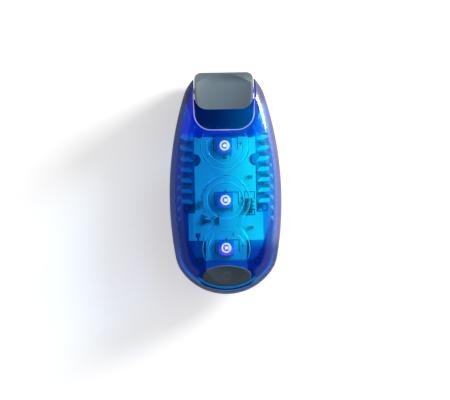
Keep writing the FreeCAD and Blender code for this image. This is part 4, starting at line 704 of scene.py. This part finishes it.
ground_steel = worked_metal("ground_steel", colour=(0.62, 0.62, 0.64, 1), stain=(0.42, 0.41, 0.40, 1),
                            stretch=(300, 4000, 4000), roughness=0.25)
drawn_wire = worked_metal("drawn_wire", colour=(0.48, 0.48, 0.50, 1), stain=(0.28, 0.26, 0.25, 1),
                          stretch=(2500, 800, 800), roughness=0.3)
plated_strip = worked_metal("plated_strip", colour=(0.72, 0.70, 0.66, 1), stain=(0.5, 0.46, 0.4, 1),
                            stretch=(600, 3000, 600), roughness=0.28)
cell_can = worked_metal("cell_can", colour=(0.66, 0.67, 0.69, 1), stain=(0.5, 0.5, 0.5, 1),
                        stretch=(200, 2500, 2500), roughness=0.3)
tinned_solder = worked_metal("tinned_solder", colour=(0.30, 0.30, 0.32, 1), stain=(0.12, 0.12, 0.12, 1),
                             stretch=(1500, 1500, 1500), roughness=0.42)
dress(ground_steel, "pivot_pin")
dress(plated_strip, "battery_minus_contact", "battery_plus_contact")
dress(cell_can, "battery")
dress(tinned_solder, "solder_joints")


# Torsion spring
# Round wire, coiled on the pivot pin, with one leg on the case and the other on the lever.
spring = place_object("torsion_spring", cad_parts["clip_spring"].data.copy())
spring.data.materials.clear()
spring.data.materials.append(drawn_wire)
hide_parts("clip_spring")
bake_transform(spring)


# Wire ends
# Two short wire ends in white sleeves run level over the bow-tie solder pad, about half a millimetre
# above it, and nearly meet over its middle.
wire_sleeve = grained_plastic("wire_sleeve", colour=(0.86, 0.87, 0.86, 1), worn=(0.95, 0.95, 0.95, 1),
                              dust=(0.6, 0.6, 0.6, 1), scale=5000.0, roughness=0.35)
WIRE_RADIUS = 0.00028
WIRE_RISE = 0.0012
for side, places in (("left", ((-0.0069, -0.0113), (-0.0060, -0.0116), (-0.0049, -0.0117))),
                     ("right", ((-0.0045, -0.0118), (-0.0038, -0.0113), (-0.0029, -0.0106)))):
    line = bpy.data.curves.new(f"wire_end_{side}", "CURVE")
    line.dimensions = "3D"
    line.bevel_depth = WIRE_RADIUS
    line.bevel_resolution = 3
    line.use_fill_caps = True
    run = line.splines.new("NURBS")
    run.points.add(len(places) - 1)
    for point, (x, y) in zip(run.points, places):
        point.co = (x, y, PRINT_LEVEL + WIRE_RISE, 1.0)
    run.order_u = 3
    run.use_endpoint_u = True
    line.materials.append(wire_sleeve)
    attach(place_object(f"wire_end_{side}", line), "case")


# Seals
# Blue silicone rings with a dusty bloom, laid in their grooves.
seal_rubber = grained_plastic("seal_rubber", colour=(0.05, 0.07, 0.55, 1), worn=(0.08, 0.09, 0.6, 1),
                              dust=(0.2, 0.2, 0.5, 1), scale=5000.0, roughness=0.75)
dress(seal_rubber, "case_seal", "battery_cover_seal")

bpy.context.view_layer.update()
